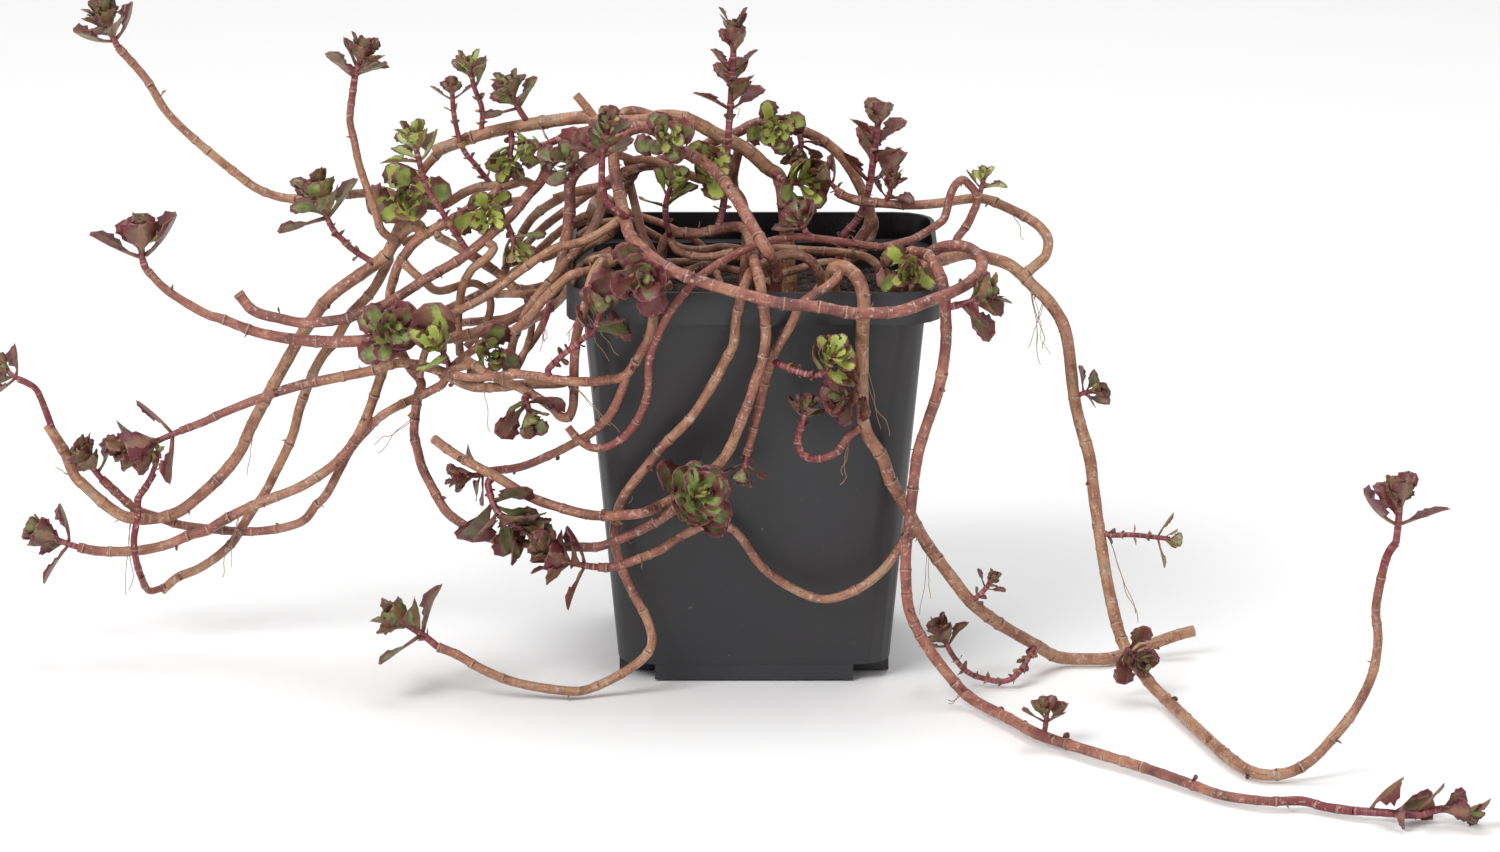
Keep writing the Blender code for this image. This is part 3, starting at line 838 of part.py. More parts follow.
def make_pot():
    collar_base = POT_HEIGHT - COLLAR_HEIGHT
    floor_top = FOOT_HEIGHT + FLOOR_THICK
    inner_foot, _ = half_at(floor_top)
    finish = material("pot")
    pot = solid("pot", *lofted([
        rounded_square(BODY_HALF_FOOT, CORNER_BODY, FOOT_HEIGHT),
        rounded_square(BODY_HALF_TOP, CORNER_BODY, collar_base),
        rounded_square(COLLAR_HALF, CORNER_COLLAR, collar_base),
        rounded_square(COLLAR_HALF, CORNER_COLLAR, POT_HEIGHT),
        rounded_square(COLLAR_HALF - WALL, CORNER_COLLAR - WALL, POT_HEIGHT),
        rounded_square(COLLAR_HALF - WALL, CORNER_COLLAR - WALL, collar_base + WALL),
        rounded_square(BODY_HALF_TOP - WALL, CORNER_BODY - WALL, collar_base + WALL),
        rounded_square(inner_foot - WALL, CORNER_BODY - WALL, floor_top),
    ]), finish)
    reach = BODY_HALF_FOOT - 0.2
    top = FOOT_HEIGHT + FLOOR_THICK / 2
    pads = [
        solid("foot_across", *block(reach, FOOT_WIDTH / 2, 0, top), finish),
        solid("foot_deep", *block(FOOT_WIDTH / 2, reach, 0, top), finish),
    ]
    boolean(pot, pads, "UNION")
    drains = [
        solid("drain", *post(x, y, -1, floor_top + 1, DRAIN_RADIUS), finish)
        for x in (-DRAIN_PLACE, DRAIN_PLACE) for y in (-DRAIN_PLACE, DRAIN_PLACE)
    ]
    boolean(pot, drains, "DIFFERENCE")
    pot.data.shade_smooth()
    pot.data.set_sharp_from_angle(angle=math.radians(30))


def make_soil(roots):
    low = FOOT_HEIGHT + FLOOR_THICK + SOIL_GAP
    inset = WALL + SOIL_GAP
    finish = material("soil")
    half_low, half_top = half_at(low)[0], half_at(SOIL_TOP)[0]
    soil = solid("soil", *lofted([
        rounded_square(half_low - inset, CORNER_BODY - inset, low),
        rounded_square(half_top - inset, CORNER_BODY - inset, SOIL_TOP),
    ]), finish)
    deep = SOIL_TOP - ROOT_DEPTH - SOIL_GAP
    holes = [
        solid("hole", *post(x, y, deep, SOIL_TOP + 1, 1.08 * (radius + SOIL_GAP)), finish)
        for x, y, radius in roots
    ]
    boolean(soil, holes, "DIFFERENCE")


def stem_tube(stem):
    """Vertices and faces of a bare stem, with its end in the soil where it has one."""
    keep = thinned(stem["points"])
    points, radii = stem["points"][keep], stem["radii"][keep]
    if stem["ground"]:
        points = np.vstack([[[*stem["ground"], SOIL_TOP - ROOT_DEPTH]], points])
        radii = np.concatenate([radii[:1], radii])
    sides = 6 if radii.max() > 1.49 else 5 if radii.max() > 1.16 else 4
    return tube(points, radii, sides)


def shoot_solid(spray, shoot):
    points, radii, seats = leafy_points(spray, shoot)
    leaves = shoot["leaves"]
    turn = math.radians(spray.turn)
    if shoot["ground"]:
        points = np.vstack([[[*shoot["ground"], SOIL_TOP - ROOT_DEPTH]], points])
        radii = np.concatenate([radii[:1], radii])
        leaves = {(ring + 1, corner): leaf for (ring, corner), leaf in leaves.items()}
    return leafy_shoot(points, radii, turn, leaves)


def make_node(name, pieces, hue):
    """One node: its stems and leafy shoots joined into one body."""
    finish = bpy.data.materials.get(hue) or material(hue)
    made = solid(name, *pieces[0], finish)
    if len(pieces) > 1:
        boolean(made, [solid("piece", *piece, finish) for piece in pieces[1:]], "UNION")
    made.data.shade_smooth()
    made.data.set_sharp_from_angle(angle=math.radians(40))
    return made


def laid_out():
    """Every stem and shoot by name, laid clear of each other, with the leaves of each shoot."""
    placed = {}
    for route in STEMS:
        fused = bool(route.on) and placed[route.on]["node"] == route.node
        stem = grown(route, route.radii, fused, placed)
        placed[route.name] = {**stem, "node": route.node, "ground": route.ground}
    for spray in SPRAYS:
        shoot = grown(spray, (spray.radius, 0.85 * spray.radius), bool(spray.node), placed)
        placed[spray.name] = {**shoot, "node": spray.node or spray.name, "ground": spray.ground}
    blades = []
    for spray in SPRAYS:
        placed[spray.name]["leaves"] = leaf_places(spray, placed[spray.name], placed, blades)
    return placed


def main():
    for old in list(bpy.data.objects):
        bpy.data.objects.remove(old)
    placed = laid_out()
    make_pot()
    make_soil([(*stem["ground"], stem["radii"][0]) for stem in placed.values() if stem["ground"]])
    nodes = {}
    for route in STEMS:
        nodes.setdefault(route.node, ("bark", []))[1].append(stem_tube(placed[route.name]))
    for spray in SPRAYS:
        piece = shoot_solid(spray, placed[spray.name])
        nodes.setdefault(spray.node or spray.name, (spray.hue, []))[1].append(piece)
    for name, (hue, pieces) in nodes.items():
        make_node(name, pieces, hue)


main()
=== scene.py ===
# %% [markdown]
# # A trailing sedum in a square nursery pot
#
# The plant is old and has run out of its pot: bare stems as thick as a pencil lead arch over the rim, lie
# on the floor and carry a small rosette of scalloped leaves wherever they end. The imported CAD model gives
# every place and size. This lesson dresses it: each stem gets its swollen, ringed joints, each shoot its
# cupped leaves, the soil its crumbs and the pot its dusty moulded surface.

# %% Load the frame
from collections import namedtuple
import json
import math

import bmesh
import bpy
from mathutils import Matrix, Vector
import numpy as np

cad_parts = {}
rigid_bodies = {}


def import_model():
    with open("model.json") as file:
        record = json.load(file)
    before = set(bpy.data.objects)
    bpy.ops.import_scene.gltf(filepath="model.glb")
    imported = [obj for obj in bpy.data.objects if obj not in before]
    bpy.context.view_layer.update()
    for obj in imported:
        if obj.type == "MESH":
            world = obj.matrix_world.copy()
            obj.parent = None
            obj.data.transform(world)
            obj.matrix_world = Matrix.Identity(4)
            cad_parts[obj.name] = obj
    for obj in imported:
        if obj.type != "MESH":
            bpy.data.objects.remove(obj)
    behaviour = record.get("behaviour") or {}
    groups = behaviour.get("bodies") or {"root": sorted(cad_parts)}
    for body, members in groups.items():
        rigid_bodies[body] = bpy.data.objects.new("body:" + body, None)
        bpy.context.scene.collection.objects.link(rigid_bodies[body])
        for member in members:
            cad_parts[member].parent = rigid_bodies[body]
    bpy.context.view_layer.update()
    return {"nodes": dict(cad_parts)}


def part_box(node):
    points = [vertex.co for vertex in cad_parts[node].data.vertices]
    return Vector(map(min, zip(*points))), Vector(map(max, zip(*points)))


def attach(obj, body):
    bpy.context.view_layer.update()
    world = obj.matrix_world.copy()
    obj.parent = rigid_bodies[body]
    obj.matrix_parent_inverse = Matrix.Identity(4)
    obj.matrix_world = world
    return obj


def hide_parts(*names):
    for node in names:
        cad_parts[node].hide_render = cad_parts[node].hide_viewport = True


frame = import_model()

# %% [markdown]
# ## Where the plant is seen from
#
# The camera stands 1.7 m away and a little above the rim, with a long lens, as in a catalogue picture. The
# same place is used below to lay out the stems, so its numbers are named once here.

# %% Place the camera
MM = 0.001
EYE_DISTANCE = 1690.0
EYE_TILT = math.radians(14.2)
TILT_COS, TILT_SIN = math.cos(EYE_TILT), math.sin(EYE_TILT)
EYE_TARGET = (-1.0, 0.0, 56.2)
EYE_CENTRE = (-1.0, 63.25)
FRAME_WIDTH = 375.0
SENSOR_WIDTH = 36.0


def in_scene(name, data):
    """A new object, linked to the scene."""
    made = bpy.data.objects.new(name, data)
    bpy.context.scene.collection.objects.link(made)
    return made


def at_eye():
    """The camera on its long lens, aimed at the middle of the plant."""
    data = bpy.data.cameras.new("camera")
    data.sensor_width = SENSOR_WIDTH
    data.lens = SENSOR_WIDTH * EYE_DISTANCE / FRAME_WIDTH
    data.clip_start = 0.05
    data.clip_end = 20.0
    eye = in_scene("camera", data)
    back = Vector((0.0, -TILT_COS, TILT_SIN))
    eye.location = (Vector(EYE_TARGET) + back * EYE_DISTANCE) * MM
    eye.rotation_euler = (-back).to_track_quat("-Z", "Y").to_euler()
    return eye


bpy.context.scene.camera = at_eye()
print("lens", round(bpy.context.scene.camera.data.lens, 1), "mm")

# %% [markdown]
# ## Floor and light
#
# A white floor that runs far back gives the pale ground of a studio picture. One broad light stands high at
# the left, a weaker one at the right, a third above and behind, and a bright even world fills the shadows
# between the stems. Each light has its power in watts, its width and its place in metres.

# %% Build the studio
LIGHTS = [("key", 23.0, 0.9, (-0.9, -1.1, 1.3)), ("fill", 2.8, 1.2, (1.3, -1.0, 0.8)),
          ("top", 10.0, 1.0, (0.1, 0.5, 1.6))]
LIGHTS_AIM = (0.0, 0.0, 0.07)
SKY = 0.56
FLOOR_HALF = 6.0
FLOOR_LEVEL = -0.0005


def srgb(red, green, blue):
    """A colour as a screen shows it, turned into the linear numbers that a shader needs."""
    parts = []
    for part in (red, green, blue):
        part /= 255
        parts.append(part / 12.92 if part <= 0.04045 else ((part + 0.055) / 1.055) ** 2.4)
    return (*parts, 1.0)


def studio_floor(half, level):
    mesh = bpy.data.meshes.new("floor")
    mesh.from_pydata([(-half, -half, level), (half, -half, level), (half, half, level), (-half, half, level)],
                     [], [(0, 1, 2, 3)])
    paint = bpy.data.materials.new("floor")
    paint.use_nodes = True
    shader = paint.node_tree.nodes["Principled BSDF"]
    shader.inputs["Base Color"].default_value = srgb(246, 246, 246)
    shader.inputs["Roughness"].default_value = 0.85
    mesh.materials.append(paint)
    in_scene("floor", mesh)


def soft_light(name, watts, size, place):
    data = bpy.data.lights.new(name, "AREA")
    data.energy = watts
    data.size = size
    lamp = in_scene(name, data)
    lamp.location = place
    lamp.rotation_euler = (Vector(LIGHTS_AIM) - Vector(place)).to_track_quat("-Z", "Y").to_euler()


def bright_world(strength):
    world = bpy.data.worlds.new("world")
    world.use_nodes = True
    background = world.node_tree.nodes["Background"]
    background.inputs["Color"].default_value = (1.0, 1.0, 1.0, 1.0)
    background.inputs["Strength"].default_value = strength
    bpy.context.scene.world = world


studio_floor(FLOOR_HALF, FLOOR_LEVEL)
for light in LIGHTS:
    soft_light(*light)
bright_world(SKY)
bpy.context.scene.view_settings.view_transform = "Standard"
print("lit by", ", ".join(light[0] for light in LIGHTS))

# %% [markdown]
# ## Sizes that the plant keeps to
#
# These are the same driving sizes as the CAD source has, in millimetres, so the dressed stems run exactly
# along the solids that stand for them.

# %% Name the sizes
POT_HEIGHT = 101.0
COLLAR_HEIGHT = 8.0
COLLAR_HALF = 45.7
BODY_HALF_TOP = 41.7
BODY_HALF_FOOT = 33.6
FOOT_HEIGHT = 4.0
WALL = 1.1
CORNER_COLLAR = 10.0
CORNER_BODY = 8.0
SOIL_TOP = 87.0
ROOT_TOP = SOIL_TOP + 2.5
# A stem is laid out in steps. STRAIGHT is how far its sections may miss its line and LONGEST the longest
# section. CLEAR is the room it keeps from other stems, SEAT the gap where it starts beside its carrier.
STEP = 2.5
STRAIGHT = 0.42
LONGEST = 16.0
CLEAR = 0.8
SEAT = 0.35
Route = namedtuple("Route", "name node on ground radii way")
Spray = namedtuple("Spray", "name node on ground radius leaf pairs spacing opening turn hue way")
print("a pot", 2 * COLLAR_HALF, "mm wide and", POT_HEIGHT, "mm high, with soil up to", SOIL_TOP, "mm")

# %% [markdown]
# ## Reading a stem off with a ruler
#
# A stem's route is a list of points as they are seen from the front: how far across, how far up and how far
# toward the viewer. These functions turn such points into places in the world and draw one smooth curve
# through them. A Catmull-Rom curve is used because it passes through every point that was read off.

# %% From seen points to places
def seen_points(line):
    """World points, in millimetres, of rows of (across, up, toward)."""
    line = np.asarray(line, float)
    across = line[:, 0] - EYE_CENTRE[0]
    up = line[:, 1] - EYE_CENTRE[1]
    y = -line[:, 2]
    rise = up * (EYE_DISTANCE + y * TILT_COS) - EYE_DISTANCE * y * TILT_SIN
    height = rise / (EYE_DISTANCE * TILT_COS + up * TILT_SIN)
    depth = EYE_DISTANCE + y * TILT_COS - height * TILT_SIN
    x = across * depth / EYE_DISTANCE + EYE_TARGET[0]
    return np.stack([x, y, height + EYE_TARGET[2]], axis=1)


def toward_at(line, level):
    """How far toward the viewer each seen point stands when it is at a given height."""
    up = line[:, 1] - EYE_CENTRE[1]
    height = level - EYE_TARGET[2]
    top = up * (EYE_DISTANCE - height * TILT_SIN) - EYE_DISTANCE * height * TILT_COS
    return -top / (EYE_DISTANCE * TILT_SIN - up * TILT_COS)


def seen_from(point):
    """The (across, up, toward) at which a world point is seen."""
    x, y, z = point
    height = z - EYE_TARGET[2]
    depth = EYE_DISTANCE + y * TILT_COS - height * TILT_SIN
    across = (x - EYE_TARGET[0]) * EYE_DISTANCE / depth + EYE_CENTRE[0]
    up = (y * TILT_SIN + height * TILT_COS) * EYE_DISTANCE / depth + EYE_CENTRE[1]
    return across, up, -y


def lengths_along(points):
    """How far each point lies along a line."""
    return np.concatenate([[0], np.cumsum(np.linalg.norm(np.diff(points, axis=0), axis=1))])


def read_at(at, run, points):
    """The place, or the places, that lie so far along a line."""
    return np.stack([np.interp(at, run, points[:, axis]) for axis in range(3)], axis=-1)


def smooth_line(points, step):
    """A Catmull-Rom curve through the points, read at even steps."""
    points = np.asarray(points, float)
    ends = np.vstack([2 * points[0] - points[1], points, 2 * points[-1] - points[-2]])
    fine = [points[0]]
    for before, start, end, after in zip(ends, ends[1:], ends[2:], ends[3:]):
        for part in np.linspace(0, 1, 13)[1:]:
            fine.append(0.5 * (2 * start + (end - before) * part
                               + (2 * before - 5 * start + 4 * end - after) * part**2
                               + (3 * start - before - 3 * end + after) * part**3))
    fine = np.array(fine)
    run = lengths_along(fine)
    return read_at(np.linspace(0, run[-1], max(3, int(round(run[-1] / step)) + 1)), run, fine)


def unit(vector):
    return vector / max(np.linalg.norm(vector), 1e-9)


print("the middle of the rim is seen at", [round(part, 1) for part in seen_from((0.0, 0.0, POT_HEIGHT))])

# %% [markdown]
# ## Stems that lie on each other
#
# Stems cross and lie on each other, but don't run through each other. One that would touch an earlier one
# is pushed toward the viewer or away until it clears it or the passes run out, and one that would sink is
# laid on the floor or on the soil.

# %% Lay a stem clear of the others
BEND_REACH = 9.0
PULL = 0.6
PASSES = 80
NEAR_ENOUGH = 0.02


def lowest_toward(line, radius):
    """The toward value that rests each seen point on the floor, or on the soil inside the pot."""
    floor = toward_at(line, radius)
    soil = toward_at(line, SOIL_TOP + radius + SEAT)
    inside = COLLAR_HALF - WALL - 1.0
    place = seen_points(np.column_stack([line[:, :2], soil]))
    over_soil = (np.abs(place[:, 0]) < inside) & (np.abs(place[:, 1]) < inside)
    over_soil &= np.abs(line[:, 2]) < inside
    return np.where(over_soil, np.maximum(floor, soil), floor)


def laid_clear(line, radius, placed, own):
    """Moves a seen line to or from the viewer until it clears the stems that are already in place.

    own is the carrying stem and the length of line next to it that may stay near it.
    """
    line = line.copy()
    line[:, 2] = np.maximum(line[:, 2], lowest_toward(line, radius))
    if not placed:
        return line
    others = np.vstack([stem["points"] for stem in placed])
    other_radii = np.concatenate([stem["radii"] for stem in placed])
    other_toward = np.concatenate([stem["line"][:, 2] for stem in placed])
    other_name = np.concatenate([[stem["name"]] * len(stem["points"]) for stem in placed])
    run = lengths_along(seen_points(line))
    rows = np.arange(len(line))
    side = np.where(line[:, 2][:, None] >= other_toward[None, :], 1.0, -1.0)
    carried = (other_name == own[0])[None, :] & (run[:, None] < own[1])
    spread = np.exp(-(((run[:, None] - run[None, :]) / BEND_REACH) ** 2))
    for _ in range(PASSES):
        away = np.linalg.norm(seen_points(line)[:, None, :] - others[None, :, :], axis=2)
        short = radius + other_radii[None, :] + CLEAR - away
        short[carried] = 0
        short = np.where(short > 0, short * side, 0)
        worst = short[rows, np.abs(short).argmax(axis=1)]
        if not np.abs(worst).max() > NEAR_ENOUGH:
            break
        pull = spread * worst[None, :]
        line[:, 2] += PULL * pull[rows, np.abs(pull).argmax(axis=1)]
        line[:, 2] = np.maximum(line[:, 2], lowest_toward(line, radius))
    return line


# %% [markdown]
# ## The routes
#
# Every stem with the node it belongs to, the stem it grows on or the place where it roots, its radius at
# both ends and its way. Leafy shoots have a length of leaf, a number of pairs, the distance between the
# pairs, the angle at which the leaves open, a turn and a hue.

# %% The stems
STEMS = [
    Route("arch", "stem_arch", None, (9, 3), (1.65, 1.4), [
        (7, 123, -2), (3, 128, 0), (-2, 132.5, 2), (-9, 136, 3), (-13.5, 138.5, 4), (-18.5, 140.5, 4),
        (-24.5, 140.5, 4), (-28.5, 139.5, 4), (-38.5, 139.5, 4), (-42, 140.5, 3), (-54, 139, 1),
        (-67, 136.5, -2), (-80, 132, -4)]),
    Route("arch_stub", "stem_arch", "arch", None, (1.22, 1.1), [
        (-39, 139.5, 0), (-42, 143, 0), (-44.5, 146, 0)]),
    Route("arch_side", "stem_arch", "arch", None, (1.1, 0.98), [
        (-35.5, 139.5, 0), (-38.5, 138, 2), (-45, 136.5, 3), (-51, 134, 3)]),
    Route("arch_back", "stem_arch", "arch", None, (1.34, 1.4), [
        (-25.5, 140.5, 0), (-30, 142, -3), (-33.5, 141, -4), (-38.5, 137.5, -5), (-42, 135, -5),
        (-46, 132, -4), (-49.5, 130, -3), (-51.5, 128, -1), (-53.5, 124, 1), (-56, 121.5, 3),
        (-61.5, 115, 6), (-72, 106, 10), (-78.5, 102, 11), (-82, 100, 12), (-91.5, 94, 12), (-97, 92, 12),
        (-102.5, 90, 12), (-112, 89, 11), (-118, 90, 10), (-125, 92, 9), (-129, 96.5, 8)]),
    Route("arch_front", "stem_arch", "arch", None, (1.46, 1.59), [
        (-31.5, 139.5, 0), (-35.5, 136, 2), (-38, 133, 3), (-41, 130, 4), (-44, 127, 5), (-46, 124, 6),
        (-46, 118.5, 7), (-46.5, 113.5, 8), (-47, 110, 8), (-48, 105, 9), (-49.5, 100, 9),
        (-52, 96.5, 10), (-56, 93, 11), (-61, 90, 12), (-66, 88, 12), (-71.5, 86, 12), (-81, 85, 12),
        (-91.5, 85.5, 12), (-99, 84.5, 11), (-111, 84.5, 10), (-123.5, 86.5, 9), (-133, 90, 8),
        (-137.5, 91.5, 8), (-146.5, 97, 7), (-152, 102.5, 7)]),
    Route("left_high", "stem_left_high", "arch_back", None, (1.28, 1.1), [
        (-54, 123.5, 0), (-58, 124.5, -4), (-61, 123.5, -6), (-68.5, 123, -8), (-73.5, 121, -8),
        (-78, 118.5, -8), (-86, 119, -8), (-92, 122, -8), (-97, 121.5, -7), (-103, 121, -7),
        (-115, 120, -7), (-123, 122, -7), (-129, 126, -7), (-140, 135, -8), (-147, 142, -8),
        (-152, 150, -8), (-159, 158, -8)]),
    Route("knee", "stem_knee", "left_high", None, (1.35, 1.22), [
        (-63.5, 123, 0), (-65.5, 120.5, 3), (-68.5, 119.5, 6), (-72, 117, 8), (-77, 114, 9),
        (-81, 112, 9), (-85, 109, 9), (-87, 106.5, 9), (-89, 103.5, 9), (-90.5, 98.5, 9), (-91, 95.5, 9),
        (-90, 87, 9), (-87.5, 80.5, 9), (-85, 76.5, 9), (-83, 74.5, 9), (-84, 71, 9), (-85, 62, 9),
        (-84, 57, 10), (-83, 53, 11), (-80.5, 48, 13), (-77, 42, 16), (-72.5, 38.5, 20), (-67, 35.5, 26),
        (-53.5, 33.5, 38), (-40, 33, 45), (-36, 34, 46), (-30, 36.5, 47), (-24, 39.5, 48), (-19, 43, 49)]),
    Route("far_left", "stem_far_left", "knee", None, (1.59, 1.34), [
        (-81, 112, 0), (-85.5, 113.5, -3), (-88, 111.5, -3), (-90.5, 108.5, -3), (-93, 105, -3),
        (-105.5, 96, -3), (-111, 89, -3), (-114, 84.5, -3), (-121.5, 71, -3), (-125.5, 63.5, -3),
        (-127, 60, -3), (-129, 56, -3), (-134, 50, -3), (-142, 43, -2), (-146, 41, -1), (-151, 40, 0),
        (-157, 40.5, 0), (-162, 43.5, 0), (-167, 48, 0), (-170, 51, 0), (-172, 56, 0), (-176.5, 63.5, 0)]),
    Route("far_left_shoot", "stem_far_left", "far_left", None, (0.98, 0.85), [
        (-175, 61, 0), (-178, 69.5, 1), (-180, 73, 1), (-184, 75, 1)]),
    Route("slant", "stem_slant", "far_left", None, (1.4, 1.22), [
        (-91, 107.5, 0), (-91.5, 104.5, -3), (-95.5, 97, -5), (-101, 91, -5), (-105, 84, -6),
        (-107, 82, -6), (-110, 77, -5), (-113.5, 68, -4), (-115, 62, -4), (-117, 57, -4), (-120, 51, -4),
        (-122, 47, -4), (-125.5, 42, -4), (-128, 38, -4), (-130.5, 34, -4), (-135, 30, -4),
        (-140, 27, -4), (-144, 25.5, -4), (-148, 22, -4)]),
    Route("slant_shoot", "stem_slant", "slant", None, (0.98, 0.92), [
        (-147, 23, 0), (-151, 22, 2), (-153, 25, 6), (-154.5, 30, 11), (-155, 35, 12), (-154, 41, 12),
        (-154, 45, 11), (-152, 48, 10), (-150, 51.5, 9)]),
    Route("left_up", "stem_left_up", "far_left", None, (1.16, 0.92), [
        (-89, 109.5, 0), (-90, 110, 2.5), (-93, 112, 5), (-95, 118, 6), (-98.5, 128, 6), (-100, 135, 6),
        (-101, 140, 6), (-100, 149, 6)]),
    Route("side", "stem_side", None, (-36, -29), (1.34, 1.22), [
        (-37.5, 103.5, 39), (-39.5, 102.5, 43), (-41.2, 98, 46.5), (-42, 94, 46.8), (-43.5, 89, 46.5),
        (-44.5, 85, 46), (-45, 77, 45), (-45, 72, 44), (-45.5, 67, 43), (-47.5, 65, 43), (-50, 67.5, 42),
        (-53.5, 70, 40), (-57, 72, 38), (-61, 74, 35), (-66, 76, 31), (-72, 80, 26)]),
    Route("cross", "stem_cross", "side", None, (1.34, 1.34), [
        (-45, 74, 0), (-48.5, 74, -4), (-58.5, 73.5, -9), (-63.5, 73, -13), (-70, 73, -18),
        (-75, 75, -23), (-78.5, 77, -27), (-88, 79, -32), (-96, 77, -33), (-106, 75, -33),
        (-115, 73, -33), (-124, 70, -33), (-134, 66, -33), (-137, 64.5, -33), (-143.5, 62, -33)]),
    Route("low_front", "stem_low_front", "knee", None, (1.4, 1.34), [
        (-89.5, 83, 0), (-92, 79, 1), (-93.5, 75, 0), (-97, 65, 0), (-100.5, 58.5, 0), (-103.5, 55, 0),
        (-107, 52, 0), (-113.5, 48, 0), (-121, 45, 0), (-126, 43, 0), (-132, 40, 0), (-137, 37, 0),
        (-141, 36, 0), (-147, 33.5, 0), (-155, 32, 0), (-164, 32, 0), (-169, 33, 0)]),
    Route("low_back", "stem_low_back", "cross", None, (1.2, 1.2), [
        (-76, 76, 0), (-80, 72.5, -4), (-88.5, 68.5, -7), (-93.5, 65.5, -12), (-97, 62, -15),
        (-100.5, 58, -15), (-103, 53.5, -15), (-107, 46, -15), (-110, 43, -15), (-112, 40, -15),
        (-117, 38, -15), (-123.5, 37, -15), (-130, 37, -15), (-140, 38, -15), (-145, 39, -15),
        (-149, 40.5, -14), (-153.5, 42, -14), (-156.5, 44, -14), (-163, 50, -13)]),
    Route("loop", "stem_loop", None, (5, -33), (1.71, 1.65), [
        (5.6, 101.5, 38), (4.6, 105, 43), (2.4, 108.5, 48.5), (-3.5, 118.5, 36), (-8, 125, 23),
        (-13, 129.5, 16), (-16, 131, 14), (-20, 133, 13), (-23, 136, 13), (-25.5, 137.5, 13),
        (-28.5, 138, 13), (-31.5, 137, 13), (-34, 134.5, 13), (-35, 132, 14), (-35, 128.5, 15),
        (-34.5, 125, 17), (-33, 118.5, 23), (-32, 114, 29), (-31, 111, 34), (-28.5, 108, 42),
        (-25, 105, 50), (-20, 102, 54), (-13.5, 99.5, 55), (-3.5, 96.5, 56), (6.5, 94, 57),
        (16.5, 93, 57), (24, 91.5, 57), (29, 91.5, 57), (36.5, 92, 56), (45, 95, 54), (49, 96.5, 51),
        (53, 98.5, 47), (56, 101, 42), (57, 104, 37), (55, 107, 33), (51.5, 108.3, 30), (46.5, 107.8, 28),
        (43, 106, 26)]),
    Route("loop_left", "stem_loop", "loop", None, (1.22, 1.1), [
        (-33, 115, 0), (-38.5, 111.5, 1), (-44, 109, 0), (-49, 108, -1), (-53.5, 105.5, -2),
        (-57, 103, -3), (-61, 100, -4), (-65, 97, -4), (-68, 95, -4), (-71, 93.5, -4), (-76, 91, -4)]),
    Route("loop_shoot", "stem_loop", "loop", None, (0.98, 0.85), [
        (-33.5, 116, 0), (-36.5, 119, 2), (-38, 123.5, 3), (-38, 128.5, 3)]),
    Route("high", "stem_high", None, (17, 7), (1.52, 1.34), [
        (18, 100.5, -6), (23, 104, -7), (24.5, 106.5, -7), (26.5, 110, -7), (28, 112, -7), (29, 115, -7),
        (28.5, 118.5, -7), (25, 126, -6), (21.5, 131, -6), (16.5, 135, -6), (11.5, 137, -6),
        (1.5, 139, -6), (-3.5, 137, -5), (-8.5, 135, -4), (-13.5, 133, -4), (-18.5, 131.5, -4),
        (-25, 129, -4), (-28.5, 128, -4), (-33.5, 125, -4), (-38.5, 123, -4), (-43.5, 122, -4),
        (-50, 120, -4)]),
    Route("inner", "stem_inner", None, (-3, -5), (1.22, 1.16), [
        (-2, 113.5, 5), (-4.5, 122, 4), (-13.5, 125, 3), (-17, 126.5, 3), (-21, 128, 3), (-25, 129.5, 3),
        (-28.5, 130, 3), (-32.5, 129, 3)]),
    Route("right_front", "stem_right_front", None, (36, -27), (1.46, 1.34), [
        (38, 105, 34), (41, 106.5, 38), (44, 105.5, 42), (46.2, 101.5, 44.5), (47.5, 97, 46),
        (48, 86.5, 47), (47.5, 80, 47), (46, 72, 47), (43, 63, 46.5), (41, 56.5, 46.5), (40, 50, 46.5),
        (39, 41, 47), (38, 32.5, 48), (38, 24, 50), (39, 16.5, 51), (43, 8.5, 52), (49, 0.5, 55),
        (54.5, -5, 58), (64, -10, 74), (71.5, -14, 87), (84, -18, 101), (97, -22, 113), (108.5, -26, 125),
        (117, -29, 134), (128, -30.5, 140), (137, -30.5, 140), (143, -32, 143), (150, -33, 147)]),
    Route("right_far", "stem_right_far", None, (35.5, -15), (1.52, 1.34), [
        (42.5, 102.8, 22), (46.5, 104.5, 22), (50, 105.6, 20), (54, 106.5, 18), (58, 105.5, 17),
        (63, 104, 17), (66, 102, 17), (70, 98, 17), (74, 94, 18), (78, 86.5, 20), (80, 71, 23),
        (81.5, 64, 25), (84, 55, 28), (85, 46.5, 30), (87, 32.5, 33), (89, 21, 37), (92.5, 8.5, 44),
        (99, -1, 51), (103, -5, 57), (106, -8, 67), (118, -19, 103), (125.5, -23.5, 117),
        (133, -23.5, 118), (139, -20.5, 117), (144, -15.5, 115), (150, -8, 114), (154.5, 1, 113),
        (156, 10, 112), (155.5, 18, 111), (158, 30, 110), (160.5, 34, 110)]),
    Route("right_back", "stem_right_far", "right_far", None, (1.4, 1.22), [
        (67.5, 101, 0), (70.5, 103.5, -1), (73, 106, -2), (73.5, 110, -3), (71.5, 113, -4),
        (68, 115.5, -5), (63, 118, -6), (58, 120, -7), (53, 120, -8), (46.5, 119, -8), (39, 118.5, -8),
        (31.5, 119, -8), (24.5, 120, -8), (20.5, 122, -8)]),
    Route("long_red", "stem_long_red", "right_far", None, (1.1, 1.04), [
        (51, 106, 0), (50.5, 109.5, -2), (53, 113, -3), (54.5, 116, -3), (56, 120, -3), (55, 122, -3),
        (52, 125, -3), (49.5, 122, -2), (48.5, 118.5, -2), (47.5, 115, -1), (45, 113, 0), (40, 110, 2),
        (36.5, 109, 5), (31.5, 108, 8), (24, 109, 11), (16.5, 110, 13), (11.5, 110.5, 14.5),
